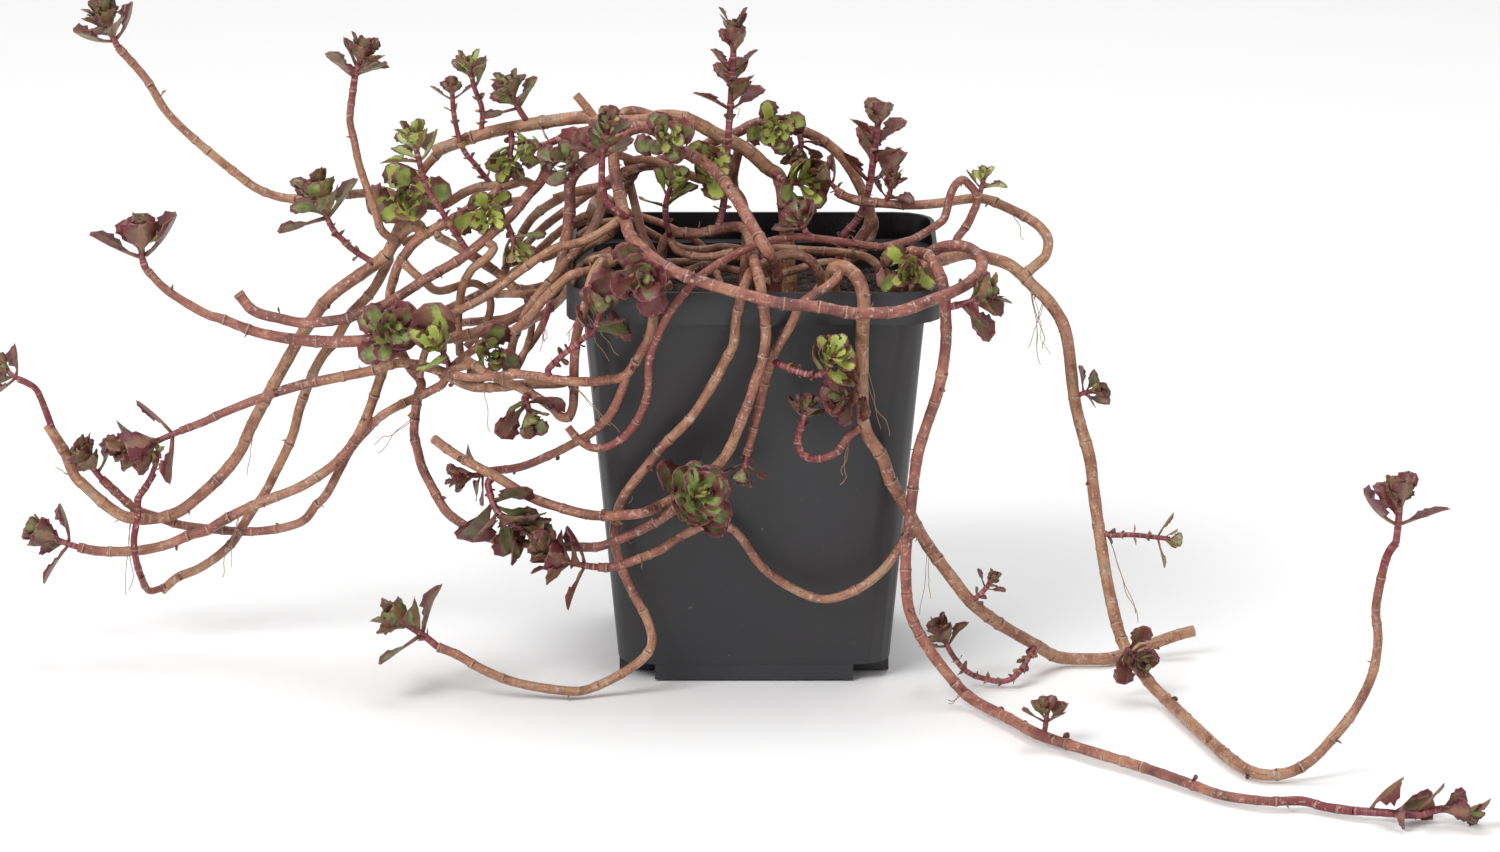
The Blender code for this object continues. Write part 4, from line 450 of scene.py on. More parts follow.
        (6.5, 110, 18), (1, 108.5, 22.5), (-5, 106, 25), (-13, 101, 29), (-18.5, 95, 32), (-22, 90, 33),
        (-26, 80.5, 32), (-26.5, 72, 30), (-28.5, 66, 29), (-32, 61, 28), (-37, 58, 27), (-41, 58, 26),
        (-44, 60, 25), (-46.5, 63, 24)]),
    Route("pot_right", "stem_pot_right", None, (33, -12), (1.22, 1.1), [
        (31.5, 101.5, 24), (29, 105, 25), (23, 106.5, 25), (16.5, 107, 25), (9, 107.5, 25), (3, 108, 25)]),
    Route("front_right", "stem_front_right", None, (20, -32), (1.59, 1.34), [
        (19.5, 101, 39), (20.5, 102.5, 43), (23, 102.8, 46), (26, 100, 48.5), (27.5, 95, 50),
        (27.2, 89, 49), (27, 70, 46.5), (28, 62, 45), (32, 55.5, 43), (34, 50, 42), (38, 43, 41),
        (43, 34, 40.5), (50, 24.5, 40), (54.5, 19, 38), (61, 14, 34), (70.5, 8.5, 27), (76, 5.5, 22),
        (85, 5, 18), (90.5, 5.5, 16), (97.5, 8, 14), (106, 11, 12), (110, 12, 11)]),
    Route("front_hang", "stem_front_right", "front_right", None, (1.22, 1.16), [
        (23, 102, 0), (20, 99.5, 3), (16.5, 97, 4), (12, 94, 4), (9, 88, 3.5), (5.5, 82, 0.5),
        (3, 75, -1), (1.5, 68.5, -1.5), (-0.5, 61, -1), (-2, 56, -1)]),
    Route("front_bow", "stem_front_right", "front_right", None, (1.1, 0.98), [
        (28, 63, 0), (23.5, 60.5, 2), (21, 57, 2.5), (18, 55.5, 2.5), (14.5, 55, 2.5), (12, 56.5, 2),
        (11, 59.5, 2), (12, 63.5, 2)]),
    Route("front_low", "stem_front_right", "front_right", None, (1.22, 1.16), [
        (41, 37, 0), (37, 33.5, 0), (32, 27, 0), (25, 22, 0), (17, 20, 0), (9, 23, 0), (2, 28, 0),
        (-3, 35, 0), (-6.5, 38, 0), (-12, 38.5, 1), (-19.5, 35, 3), (-23, 32.5, 5), (-29, 30, 7),
        (-35, 28, 8), (-39, 28, 8)]),
    Route("front_left", "stem_front_left", None, (17, -25), (1.34, 1.22), [
        (17, 98.5, 29), (16, 102, 31), (13.5, 105, 32), (11, 106, 33), (7, 106, 34.5), (4, 104.5, 35.5),
        (1, 103, 38), (-1, 101.5, 43), (-2.2, 98.8, 47.6), (-3, 96, 49), (-4.5, 90, 49), (-5, 84, 46.5),
        (-7, 80, 45.5), (-9, 76, 45), (-13.5, 68.5, 44.3), (-17, 64, 43.8), (-23, 58, 43.3),
        (-27, 53, 43), (-32, 46.5, 42.3), (-34, 42, 41.8), (-35, 36, 41.3), (-33.5, 29, 41),
        (-30.5, 22, 41.5), (-27, 15.5, 43), (-25.5, 10, 45), (-27, 6, 46), (-32, 2, 47), (-40, -2, 48),
        (-46, -3, 50), (-59, -1, 49), (-68, 2.5, 49), (-74, 6, 48), (-79, 8, 47)]),
    Route("middle", "stem_middle", None, (-24, -6), (1.35, 1.2), [
        (-22, 110, 8), (-13.5, 111.5, 8), (-7, 112.8, 10), (-3.5, 113, 13), (-1.8, 111.8, 19),
        (-0.8, 109, 30), (0, 105, 44), (1, 101.5, 49.5), (2, 96, 51.5), (3, 86.5, 50), (2, 79, 49.3),
        (0.5, 75, 48.5), (-1, 70, 48), (-3, 65, 47.5), (-5, 60, 47), (-6.5, 57, 47), (-9, 53.5, 47),
        (-13.5, 50, 47), (-17, 47, 47), (-26.5, 42, 47.5), (-33, 41, 47), (-41, 41, 44), (-49, 43, 40),
        (-56, 45.5, 36), (-63.5, 50, 30), (-71, 54, 24), (-76, 57, 19), (-80, 60, 15)]),
    Route("corner", "stem_corner", None, (-24, -33), (1.4, 1.22), [
        (-24.3, 101, 44), (-24.8, 99.3, 47.2), (-25, 96, 48.5), (-25, 92, 48.5), (-26, 86, 48),
        (-28, 82, 46.5), (-32, 76, 45), (-36, 75, 45.5), (-41, 74.3, 46.5), (-47, 74.5, 47),
        (-53.5, 75.5, 44), (-61, 76.5, 39)]),
    Route("corner_low", "stem_corner", "corner", None, (1.22, 1.1), [
        (-31.5, 76.5, 0), (-33.5, 71, 0), (-36, 66, -1), (-40, 62, -3), (-45, 59, -6), (-51, 56, -12),
        (-58.5, 53, -21), (-66, 52, -28)]),
    Route("left_rim", "stem_left_rim", None, (-30, -10), (1.4, 1.22), [
        (-29, 108.5, 16), (-32, 107, 21), (-36, 104, 29), (-42, 101.8, 37), (-46, 100.8, 39),
        (-52, 95.5, 37), (-57, 89.5, 31), (-62, 86, 25), (-69, 83.5, 18)]),
    Route("left_brown", "stem_left_brown", "high", None, (1.34, 1.22), [
        (-37.5, 123.5, 0), (-38.5, 117, 6), (-41, 111.5, 14), (-44.5, 107, 20), (-50, 100.5, 24),
        (-56, 93, 24), (-60, 85, 20), (-61, 79, 18)]),
    Route("tangle_a", "stem_tangle_a", "arch_back", None, (1.22, 1.1), [
        (-63, 113.3, 0), (-66, 106, 2), (-70, 103, 2), (-72.5, 99, 1), (-73.5, 95, 0), (-74, 89, 0),
        (-73.5, 81, 0)]),
    Route("tangle_b", "stem_tangle_b", "knee", None, (1.16, 1.1), [
        (-81, 112, 0), (-75, 108.5, -2), (-69, 104.5, -3), (-63.5, 101, -3), (-58.5, 97.5, -2),
        (-52, 98.5, -1)]),
    Route("tangle_c", "stem_tangle_c", "knee", None, (1.16, 1.04), [
        (-88, 105.5, 0), (-85.5, 102, 3), (-82, 99, 4), (-78.5, 97, 3), (-70, 99, 0), (-66, 95, -2),
        (-67, 89, -3), (-72, 83, -2)]),
    Route("inner_down", "stem_inner", "inner", None, (1.15, 1.0), [
        (-4.5, 122, 0), (-2, 117, 3), (2, 109.5, 6), (5.5, 102, 8), (8, 94, 9)]),
    Route("middle_low", "stem_middle", "middle", None, (1.1, 1.0), [
        (-21, 110, 0), (-19, 107, 3), (-12, 105.5, 6), (-5, 107, 7)]),
    Route("high_drop", "stem_high", "high", None, (1.15, 1.0), [
        (-29, 128, 0), (-33.5, 121, -6), (-38, 117.5, -9), (-45, 114.5, -10), (-52, 109, -10),
        (-59, 102, -10)]),
    Route("front_across", "stem_arch", "arch_front", None, (1.15, 1.1), [
        (-52.5, 96, 0), (-57, 92, -6), (-63, 90, -12), (-73.5, 89, -15), (-81, 87.5, -15),
        (-88.5, 86, -15)]),
    Route("back_across", "stem_arch", "arch_back", None, (1.15, 1.0), [
        (-57, 120.5, 0), (-62, 119, -6), (-70, 116, -10), (-78.5, 113, -11), (-88, 109, -11)]),
]
print(len(STEMS), "stems with", sum(len(route.way) for route in STEMS), "points")

# %% The leafy shoots
SPRAYS = [
    Spray("tip_high_left", None, "left_high", None, 0.8, 8.0, 3, 2.4, 70, 10, "mixed", [
        (-159, 158, 0), (-160.5, 161, 0), (-162, 165, 0)]),
    Spray("tip_up_left", None, "left_up", None, 0.8, 8.5, 3, 2.4, 70, 60, "mixed", [
        (-100, 149, 0), (-99.5, 152, 0), (-98, 156, 0)]),
    Spray("tip_left", None, "arch_front", None, 0.9, 12.0, 2, 2.5, 62, 0, "burgundy", [
        (-152, 102.5, 0), (-153, 105.5, 0), (-153, 109, 0)]),
    Spray("bough_left", None, "far_left", None, 0.8, 10.5, 3, 2.6, 75, 20, "mixed", [
        (-94, 104, 0), (-100.5, 107.5, 1), (-103, 110, 1.5), (-105, 112, 2), (-107, 116, 2),
        (-109, 121, 2)]),
    Spray("bud_far_left", "stem_far_left", "far_left_shoot", None, 0.7, 7.5, 2, 2.4, 75, 30, "burgundy", [
        (-184, 75, 0), (-185.5, 76, 0), (-187, 77.5, 0)]),
    Spray("tip_low_back", None, "low_back", None, 0.8, 8.0, 3, 2.4, 75, 0, "mixed", [
        (-163, 50, 0), (-165.5, 53, 0), (-167.5, 56, 0)]),
    Spray("tip_cross", None, "cross", None, 0.8, 9.0, 4, 3.4, 72, 15, "mixed", [
        (-143.5, 62, 0), (-147, 60.5, 0), (-152, 58.5, 0), (-156, 58, 0)]),
    Spray("tip_low_front", None, "low_front", None, 0.8, 9.0, 3, 2.6, 72, 0, "burgundy", [
        (-169, 33, 0), (-172, 34, 0), (-177, 36, 0)]),
    Spray("bud_slant", "stem_slant", "slant_shoot", None, 0.7, 4.8, 3, 2.2, 60, 20, "green", [
        (-150, 51.5, 0), (-149.5, 54, 0), (-149, 57, 0)]),
    Spray("bough_back", None, "arch_back", None, 0.8, 8.0, 3, 2.4, 70, 30, "green", [
        (-71.5, 107, 0), (-75, 112, 1), (-77, 115, 1), (-79, 118.5, 1), (-81.5, 122, 1),
        (-83.5, 128.5, 0), (-85, 135, 0)]),
    Spray("rosette_left", None, "left_high", None, 0.9, 8.5, 3, 1.7, 80, 10, "green", [
        (-86, 119, 0), (-86.5, 119.6, 4), (-86.5, 120, 8)]),
    Spray("bud_crown_a", "stem_left_high", "left_high", None, 0.7, 4.5, 2, 2.2, 60, 0, "mixed", [
        (-66, 123, 0), (-70, 129, -1), (-73, 133, -1), (-75, 141, -1), (-75.5, 148, -1)]),
    Spray("bud_crown_b", "stem_arch", "arch", None, 0.7, 6.5, 3, 2.2, 65, 40, "mixed", [
        (-67.5, 136.5, 0), (-68, 142.5, 1), (-70, 148, 1), (-71, 153, 1)]),
    Spray("tip_crown", None, "arch", None, 0.8, 7.5, 3, 2.4, 70, 20, "mixed", [
        (-57, 138.5, 0), (-58.5, 142, 1), (-60, 145, 1), (-61, 148, 1)]),
    Spray("bud_crown_c", "stem_arch", "arch", None, 0.8, 7.5, 3, 2.2, 75, 45, "green", [
        (-60, 138, 0), (-60.5, 134.5, 3), (-61, 131, 5), (-61, 129, 7)]),
    Spray("bud_crown_side", "stem_arch", "arch_side", None, 0.8, 7.5, 3, 2.2, 75, 30, "green", [
        (-51, 134, 0), (-53, 133.5, 1), (-56, 133.5, 2)]),
    Spray("rosette_knee", None, "knee", None, 0.8, 8.0, 3, 1.7, 78, 0, "lime", [
        (-68, 119.3, 0), (-67, 117.5, 3), (-66.5, 116, 7)]),
    Spray("bud_back", "stem_arch", "arch_back", None, 0.8, 7.0, 2, 2.2, 70, 20, "green", [
        (-62, 114.5, 0), (-60.5, 111, 2), (-60, 107.5, 3)]),
    Spray("bud_fork", "stem_arch", "arch_front", None, 0.8, 8.0, 2, 1.8, 75, 70, "burgundy", [
        (-44.5, 126.5, 0), (-46, 128.5, 3), (-46.5, 129.5, 6)]),
    Spray("tip_loop", None, "loop_shoot", None, 0.8, 7.5, 4, 2.5, 65, 30, "mixed", [
        (-38, 128.5, 0), (-37.9, 131, 0.2), (-37.2, 134, 0.8), (-36.5, 138, 2)]),
    Spray("rosette_crown", None, "loop", None, 0.9, 7.0, 3, 1.7, 78, 15, "mixed", [
        (-21, 133.7, 0), (-21.5, 134.6, 4), (-21.5, 135.5, 8)]),
    Spray("bough_inner", None, "middle", None, 0.8, 9.5, 3, 2.6, 65, 60, "lime", [
        (-20.5, 110.3, 0), (-22, 115, 1), (-22, 119, 2), (-20.5, 124, 3)]),
    Spray("rosette_inner", None, "inner", None, 0.8, 8.5, 3, 1.8, 78, 30, "lime", [
        (-12.5, 124.8, 0), (-12, 126, 4), (-11.5, 127.5, 7)]),
    Spray("tall_middle", None, "middle", None, 0.9, 8.5, 5, 4.6, 62, 25, "mixed", [
        (-8.5, 112.5, 0), (-7.5, 120, -1), (-6.5, 135, -1), (-5.5, 150, -1.5), (-5, 162, -2)]),
    Spray("bud_high", "stem_high", "high", None, 0.8, 7.0, 3, 1.8, 76, 10, "green", [
        (4, 138.7, 0), (5, 138, 3), (5.5, 137.5, 6)]),
    Spray("bud_high_low", "stem_high", "high", None, 0.8, 6.0, 2, 2.0, 70, 50, "burgundy", [
        (12, 136.8, 0), (11.8, 134, 2.5), (11.5, 131.5, 4)]),
    Spray("tip_pot", None, "arch", None, 0.8, 10.0, 3, 2.2, 75, 20, "green", [
        (4.5, 126.5, 0), (7, 125, 3), (9.5, 124, 5), (12, 124, 8)]),
    Spray("bud_right_back", "stem_right_far", "right_back", None, 0.7, 6.0, 2, 2.2, 65, 0, "burgundy", [
        (20.5, 122, 0), (19.3, 123.8, 0), (17.5, 126, 0)]),
    Spray("tall_right", None, None, (20, 0), 1.0, 9.5, 4, 4.6, 62, 30, "mixed", [
        (22, 110, 2), (24.5, 113, 2), (26.5, 116, 2), (28, 120, 2), (29, 124, 2), (30, 131, 2),
        (31, 139, 2)]),
    Spray("bud_red", "stem_long_red", "long_red", None, 0.7, 6.5, 2, 2.0, 70, 0, "crimson", [
        (14, 110.3, 0), (12.5, 112.5, 1), (11.5, 115, 2)]),
    Spray("bud_red_loop", "stem_long_red", "long_red", None, 0.7, 5.0, 2, 2.0, 65, 20, "green", [
        (55.8, 120.5, 0), (57, 123, 0), (57.5, 125.5, 0)]),
    Spray("rosette_rim", None, "right_front", None, 0.8, 8.0, 3, 1.7, 78, 40, "green", [
        (38.5, 105.3, 0), (38.3, 103.5, 4), (38.5, 102.5, 8)]),
    Spray("bough_rim", None, "right_front", None, 0.9, 9.5, 3, 2.8, 75, 25, "burgundy", [
        (47.8, 93.5, 0), (51, 93.5, 2), (55, 94.5, 3), (58, 96, 3)]),
    Spray("rosette_corner", None, "loop", None, 0.9, 9.5, 4, 2.0, 80, 25, "mixed", [
        (-28, 107.6, 0), (-29, 104, 5), (-28.8, 101.5, 9), (-28.5, 101, 13)]),
    Spray("bough_corner", None, "corner", None, 0.8, 8.5, 3, 2.4, 72, 45, "burgundy", [
        (-53.5, 75.5, 0), (-50, 79, 3), (-46, 82.5, 5), (-40, 87.5, 8), (-38.5, 92, 9)]),
    Spray("rosette_tangle", None, "arch_front", None, 0.9, 8.5, 4, 1.7, 80, 40, "mixed", [
        (-90, 85.5, 0), (-90.6, 86.2, 4), (-90.2, 87.4, 8)]),
    Spray("leaf_cross", "stem_cross", "cross", None, 0.8, 11.0, 2, 2.0, 60, 60, "green", [
        (-76, 75.8, 0), (-76.5, 79, 4), (-78.5, 83, 7)]),
    Spray("bud_left_rim", "stem_left_rim", "left_rim", None, 0.7, 7.0, 2, 2.0, 70, 0, "mixed", [
        (-69, 83.5, 0), (-67.5, 82, 3), (-66.5, 81.5, 6)]),
    Spray("rosette_side", None, "side", None, 0.9, 8.5, 3, 2.2, 75, 20, "burgundy", [
        (-57, 72, 0), (-57, 69.5, 4), (-56, 66.5, 7)]),
    Spray("bud_corner_low", "stem_corner", "corner_low", None, 0.8, 7.0, 3, 2.2, 75, 35, "crimson", [
        (-66, 52, 0), (-69, 51, 1), (-73, 51, 2)]),
    Spray("bough_middle", None, "middle", None, 0.9, 9.5, 4, 3.6, 72, 30, "mixed", [
        (-66, 51.5, 0), (-66, 46.5, 4), (-64.5, 42.5, 7), (-62, 39.5, 9), (-57, 37.5, 9)]),
    Spray("tip_front_low", None, "front_low", None, 0.8, 8.0, 4, 2.8, 72, 10, "burgundy", [
        (-39, 28, 0), (-43, 28.5, 0), (-47, 29.5, 0), (-51, 32, 0)]),
    Spray("rosette_front", None, "knee", None, 1.0, 10.5, 5, 1.8, 82, 20, "mixed", [
        (-19, 43, 0), (-16.5, 44.5, 2), (-14, 46, 7)]),
    Spray("bud_front_hang", "stem_front_right", "front_hang", None, 0.7, 5.0, 2, 2.0, 65, 0, "burgundy", [
        (-2, 56, 0), (-2.2, 54, 0.5), (-2.5, 51, 1)]),
    Spray("bough_front", None, "front_hang", None, 0.8, 7.5, 4, 2.2, 78, 20, "green", [
        (4.5, 79.5, 0), (8, 78, 3), (12, 76.5, 5), (16.5, 76, 6), (19, 78.5, 8), (20, 81, 11)]),
    Spray("rosette_stem", None, "front_right", None, 0.8, 8.0, 3, 1.9, 78, 50, "crimson", [
        (27, 71, 0), (24.5, 71, 2), (22, 70.5, 5)]),
    Spray("bud_bow", "stem_front_right", "front_bow", None, 0.7, 5.5, 2, 2.0, 65, 20, "burgundy", [
        (12, 63.5, 0), (12.5, 65.5, 0.5), (13.5, 68, 1)]),
    Spray("tip_front_left", None, "front_left", None, 0.9, 10.5, 3, 3.0, 70, 20, "mixed", [
        (-79, 8, 0), (-82, 10.5, 0), (-85, 12.5, 0), (-89, 15, 0)]),
    Spray("bud_far_side", "stem_right_far", "right_far", None, 0.7, 6.0, 2, 2.2, 70, 0, "mixed", [
        (86.4, 37, 0), (89, 36, 1), (95, 36, 2), (104, 35, 3)]),
    Spray("bud_far_top", "stem_right_far", "right_far", None, 0.7, 5.0, 2, 2.0, 65, 30, "burgundy", [
        (80, 71, 0), (82.5, 71.5, 1), (85, 72, 2)]),
    Spray("bud_floor", "stem_front_right", "front_right", None, 0.75, 6.0, 3, 2.2, 65, 20, "crimson", [
        (70, 8.5, 0), (66.5, 2, 12), (63, -0.5, 13), (58, 0, 13), (53, 2, 13), (49, 7, 12), (46.5, 13, 12)]),
    Spray("bud_sprout", "stem_front_right", "front_right", None, 0.7, 5.0, 2, 2.0, 60, 0, "crimson", [
        (55, 18.8, 0), (57, 21.5, 1), (59.5, 25, 1)]),
    Spray("bud_crossing", "stem_right_far", "right_far", None, 0.8, 7.0, 3, 2.0, 72, 20, "crimson", [
        (92.5, 8.5, 0), (94, 6.5, 3), (96, 5, 6)]),
    Spray("bud_right_red", "stem_right_far", "right_back", None, 0.7, 5.0, 3, 2.4, 70, 0, "crimson", [
        (33, 119, 0), (34, 121.5, 1), (34.5, 125.5, 1)]),
    Spray("bud_floor_right", "stem_right_front", "right_front", None, 0.7, 6.0, 2, 2.0, 65, 30, "crimson", [
        (72, -14, 0), (73, -11, 0), (73.3, -8, 0)]),
    Spray("tip_far", None, "right_far", None, 0.9, 9.5, 3, 4.2, 70, 15, "mixed", [
        (160.5, 34, 0), (161, 38, 0), (161.5, 44, 0)]),
    Spray("tip_floor", None, "right_front", None, 1.0, 9.0, 6, 5.4, 62, 20, "crimson", [
        (150, -33, 0), (158, -33.5, 2), (166, -34, 4), (172, -32.5, 4), (178, -34, 6)]),
]
print(len(SPRAYS), "leafy shoots")

# %% [markdown]
# ## Growing the plant
#
# A carried stem starts beside its carrier's surface, so the first points are dropped until the end face
# stands clear. A stem that is fused to its carrier starts on the carrier's middle line instead.

# %% Grow one stem
JOINT_REACH = 2.4
JOINT_ROOM = 1.5
FINE_STEP = 0.5
KEEP_EVERY = 4


def start_beside(points, radius, carrier, joint):
    """The first point of a carried stem whose end face stands clear of the stem that carries it."""
    spine = carrier["points"]
    last = len(spine) - 1
    reach = carrier["radii"][joint] + SEAT
    for index in range(1, len(points) - 1):
        along = unit(points[index + 1] - points[index])
        away = np.linalg.norm(spine - points[index], axis=1)
        near = int(away.argmin())
        if joint >= last - 1:
            beyond = unit(spine[last] - spine[last - 2])
            slant = np.linalg.norm(np.cross(beyond, along))
            if (points[index] - spine[last]) @ beyond >= SEAT + 0.1 + radius * slant:
                return index
        else:
            beside = unit(spine[min(near + 1, last)] - spine[max(near - 1, 0)])
            if away[near] >= reach + radius * abs(beside @ along):
                return index
    return 1


def grown(route, radii, fused, placed):
    """One stem laid among those in place: its seen line, its world points and its radius at each point."""
    way = [tuple(point) for point in route.way]
    own = ("", 0.0)
    carrier = None
    if route.on:
        carrier = placed[route.on]
        joint = int(np.linalg.norm(carrier["line"][:, :2] - np.array(way[0][:2]), axis=1).argmin())
        if fused:
            joint = min(joint, len(carrier["line"]) - 2)
        base = carrier["line"][joint]
        way = [tuple(base)] + [(across, up, toward + base[2]) for across, up, toward in way[1:]]
        own = (route.on, JOINT_REACH * (carrier["radii"][joint] + radii[0]) + JOINT_ROOM)
    elif route.ground:
        way = [seen_from((*route.ground, ROOT_TOP))] + way
    line = laid_clear(smooth_line(way, STEP), max(radii), list(placed.values()), own)
    if carrier and not fused:
        line = smooth_line(line, FINE_STEP)
        line = line[start_beside(seen_points(line), radii[0], carrier, joint):]
        line = line[sorted(set(range(0, len(line), KEEP_EVERY)) | {len(line) - 1})]
    points = seen_points(line)
    if route.ground:
        points[0] = (*route.ground, ROOT_TOP)
    return {"name": route.name, "line": line, "points": points, "radii": np.linspace(*radii, len(points))}


def thinned(points):
    """The indices of the points that keep a line's shape within STRAIGHT."""
    def part(first, last):
        if last - first < 2:
            return []
        chord = points[last] - points[first]
        length = np.linalg.norm(chord)
        offset = np.linalg.norm(np.cross(points[first + 1:last] - points[first], chord), axis=1)
        offset /= max(length, 1e-9)
        middle = first + 1 + int(offset.argmax())
        if offset.max() < STRAIGHT and length < LONGEST:
            return []
        if offset.max() < STRAIGHT:
            middle = (first + last) // 2
        return part(first, middle) + [middle] + part(middle, last)

    return [0] + part(0, len(points) - 1) + [len(points) - 1]


# %% [markdown]
# ## Leaves that find room
#
# Leaves sit in crossed pairs. Each one is turned and opened until it keeps off the pot, the stems and the
# other leaves. The order of the tries is fixed, so the plant comes out the same each time. A try changes
# the opening and the turn, in degrees, and scales the leaf.

# %% Frames along a shoot, and the room round a leaf
LEAF_WIDTH = 0.74
LEAF_SEAT = 0.9
TRIES = [
    (0, 0, 1), (-12, 0, 1), (12, 0, 1), (0, 16, 1), (0, -16, 1), (-24, 0, 1), (0, 0, 0.82), (-12, 18, 0.85),
    (-12, -18, 0.85), (-26, 0, 0.75), (14, 18, 0.75), (14, -18, 0.75), (-24, 18, 0.62), (-24, -18, 0.62),
]
GRID_ROWS = [(0.34, 0.27), (0.5, 0.4), (0.66, 0.5), (0.82, 0.38), (1.0, 0.05)]
GRID_FOOT = 10
FLOOR_ROOM = 0.45
POT_ROOM = 0.8
STEM_ROOM = 0.95
OWN_STEM_ROOM = 0.45
LEAF_ROOM = 1.9
SHOOT_LEAF_ROOM = 0.95
STEM_NEARBY = 20
LEAF_NEARBY = 26
LEAST_OPENING = 32


def shoot_frames(points, turn):
    """At each point of a shoot its direction and the two directions across it that its leaves grow in."""
    along = [unit(points[1] - points[0])]
    along += [unit(after - before) for before, after in zip(points, points[2:])]
    along += [unit(points[-1] - points[-2])]
    flat = np.cross(along[-1], (0.0, -TILT_COS, TILT_SIN))
    if np.linalg.norm(flat) < 0.35:
        flat = np.cross(along[-1], (0.0, 0.0, 1.0))
    flat = unit(flat)
    side = math.cos(turn) * flat + math.sin(turn) * np.cross(along[-1], flat)
    frames = []
    for direction in reversed(along):
        side = unit(side - (side @ direction) * direction)
        frames.append((direction, side, np.cross(direction, side)))
    return frames[::-1]


def wall_distance(point):
    """How far a point lies outside the pot's outer wall, negative inside."""
    half, corner = COLLAR_HALF, CORNER_COLLAR
    if point[2] < POT_HEIGHT - COLLAR_HEIGHT - 0.6:
        share = max(0.0, (point[2] - FOOT_HEIGHT) / (POT_HEIGHT - COLLAR_HEIGHT - FOOT_HEIGHT))
        half, corner = BODY_HALF_FOOT + (BODY_HALF_TOP - BODY_HALF_FOOT) * share, CORNER_BODY
    across = abs(point[0]) - half + corner
    deep = abs(point[1]) - half + corner
    return math.hypot(max(across, 0), max(deep, 0)) + min(max(across, deep), 0) - corner


def clears_pot(points):
    """Whether points lie over the floor and either outside the pot or in the room above its soil."""
    for point in points:
        if point[2] < FLOOR_ROOM:
            return False
        if point[2] > POT_HEIGHT + POT_ROOM:
            continue
        outside = wall_distance(point)
        if outside < POT_ROOM and not (outside < -WALL - 0.9 and point[2] > SOIL_TOP + 0.9):
            return False
    return True


def leaf_at(base, here, turn, opening, length, out=0.4):
    """A leaf that opens from the shoot's direction toward one side of it. The angles are in degrees."""
    stalk, side, other = here
    turn, opening = math.radians(turn), math.radians(opening)
    sideways = math.cos(turn) * side + math.sin(turn) * other
    return {"base": base + out * sideways, "along": math.cos(opening) * stalk + math.sin(opening) * sideways,
            "wide": np.cross(stalk, sideways), "length": length}


def leaf_grid(leaf):
    """Points spread over a leaf, for measuring what lies near it."""
    base, along, wide, length = leaf["base"], leaf["along"], leaf["wide"], leaf["length"]
    up = np.cross(along, wide)
    width = LEAF_WIDTH * length
    return np.array([
        base + far * length * along + out * edge * width * wide + abs(out) * 0.17 * width * up
        for far, edge in GRID_ROWS for out in (-1.0, -0.5, 0.0, 0.5, 1.0)
    ])


def leafy_points(spray, shoot):
    """The points of a shoot with a short stretch for each pair of leaves, and where those stretches start."""
    points = shoot["points"]
    run = lengths_along(points)
    seats = [run[-1] - LEAF_SEAT - (spray.pairs - 1 - pair) * spray.spacing for pair in range(spray.pairs)]
    seats = [seat for seat in seats if seat > 0.3]
    bends = [run[index] for index in thinned(points)]
    places = [place for place in bends[:-1] if place < seats[0] - 1.2]
    for seat in seats:
        places += [seat, seat + LEAF_SEAT]
    if places[0] > 0:
        places = [0.0] + places
    return read_at(places, run, points), [places.index(seat) for seat in seats]


def nearer(points, others, room):
    """Whether any of some points lies within a room of any of some others."""
    return (np.linalg.norm(points[:, None] - others[None], axis=2) < room).any()


def leaf_is_clear(leaf, spray, stems, blades):
    """Whether a leaf keeps off the pot, the stems and every other leaf."""
    grid = leaf["grid"] = leaf_grid(leaf)
    leaf["shoot"] = spray.name
    if not clears_pot(grid):
        return False
    for stem in stems.values():
        if stem["name"] == spray.name:
            continue
        own = stem["node"] == (spray.node or spray.name) or stem["name"] == spray.on and spray.node
        tested, room = (grid[GRID_FOOT:], OWN_STEM_ROOM) if own else (grid, STEM_ROOM)
        near = np.linalg.norm(stem["points"] - leaf["base"], axis=1) < STEM_NEARBY
        if near.any() and nearer(tested, stem["points"][near], (stem["radii"] + room)[near]):
            return False
    for other in blades:
        if np.linalg.norm(other["base"] - leaf["base"]) > LEAF_NEARBY:
            continue
        if other["shoot"] == spray.name:
            if nearer(grid[GRID_FOOT:], other["grid"][GRID_FOOT:], SHOOT_LEAF_ROOM):
                return False
        elif nearer(grid, other["grid"], LEAF_ROOM):
            return False
    return True


def leaf_places(spray, stems, blades):
    """The leaves of one shoot in crossed pairs, each turned until it clears the rest."""
    points, seats = leafy_points(spray, stems[spray.name])
    frames = shoot_frames(points, math.radians(spray.turn))
    leaves = []
    for pair, ring in enumerate(seats):
        share = pair / max(1, len(seats) - 1)
        middle = 0.5 * (points[ring] + points[ring + 1])
        for corner in (pair % 2, pair % 2 + 2):
            for open_change, turn_change, scale in TRIES:
                opening = max(LEAST_OPENING, spray.opening * (1 - 0.5 * share) + open_change)
                length = spray.leaf * (1 - 0.4 * share) * scale
                turn = 90 * corner + turn_change
                leaf = leaf_at(middle, frames[ring], turn, opening, length, 0.7 * spray.radius)
                if leaf_is_clear(leaf, spray, stems, blades):
                    leaves.append((ring, leaf))
                    blades.append(leaf)
                    break
    return leaves


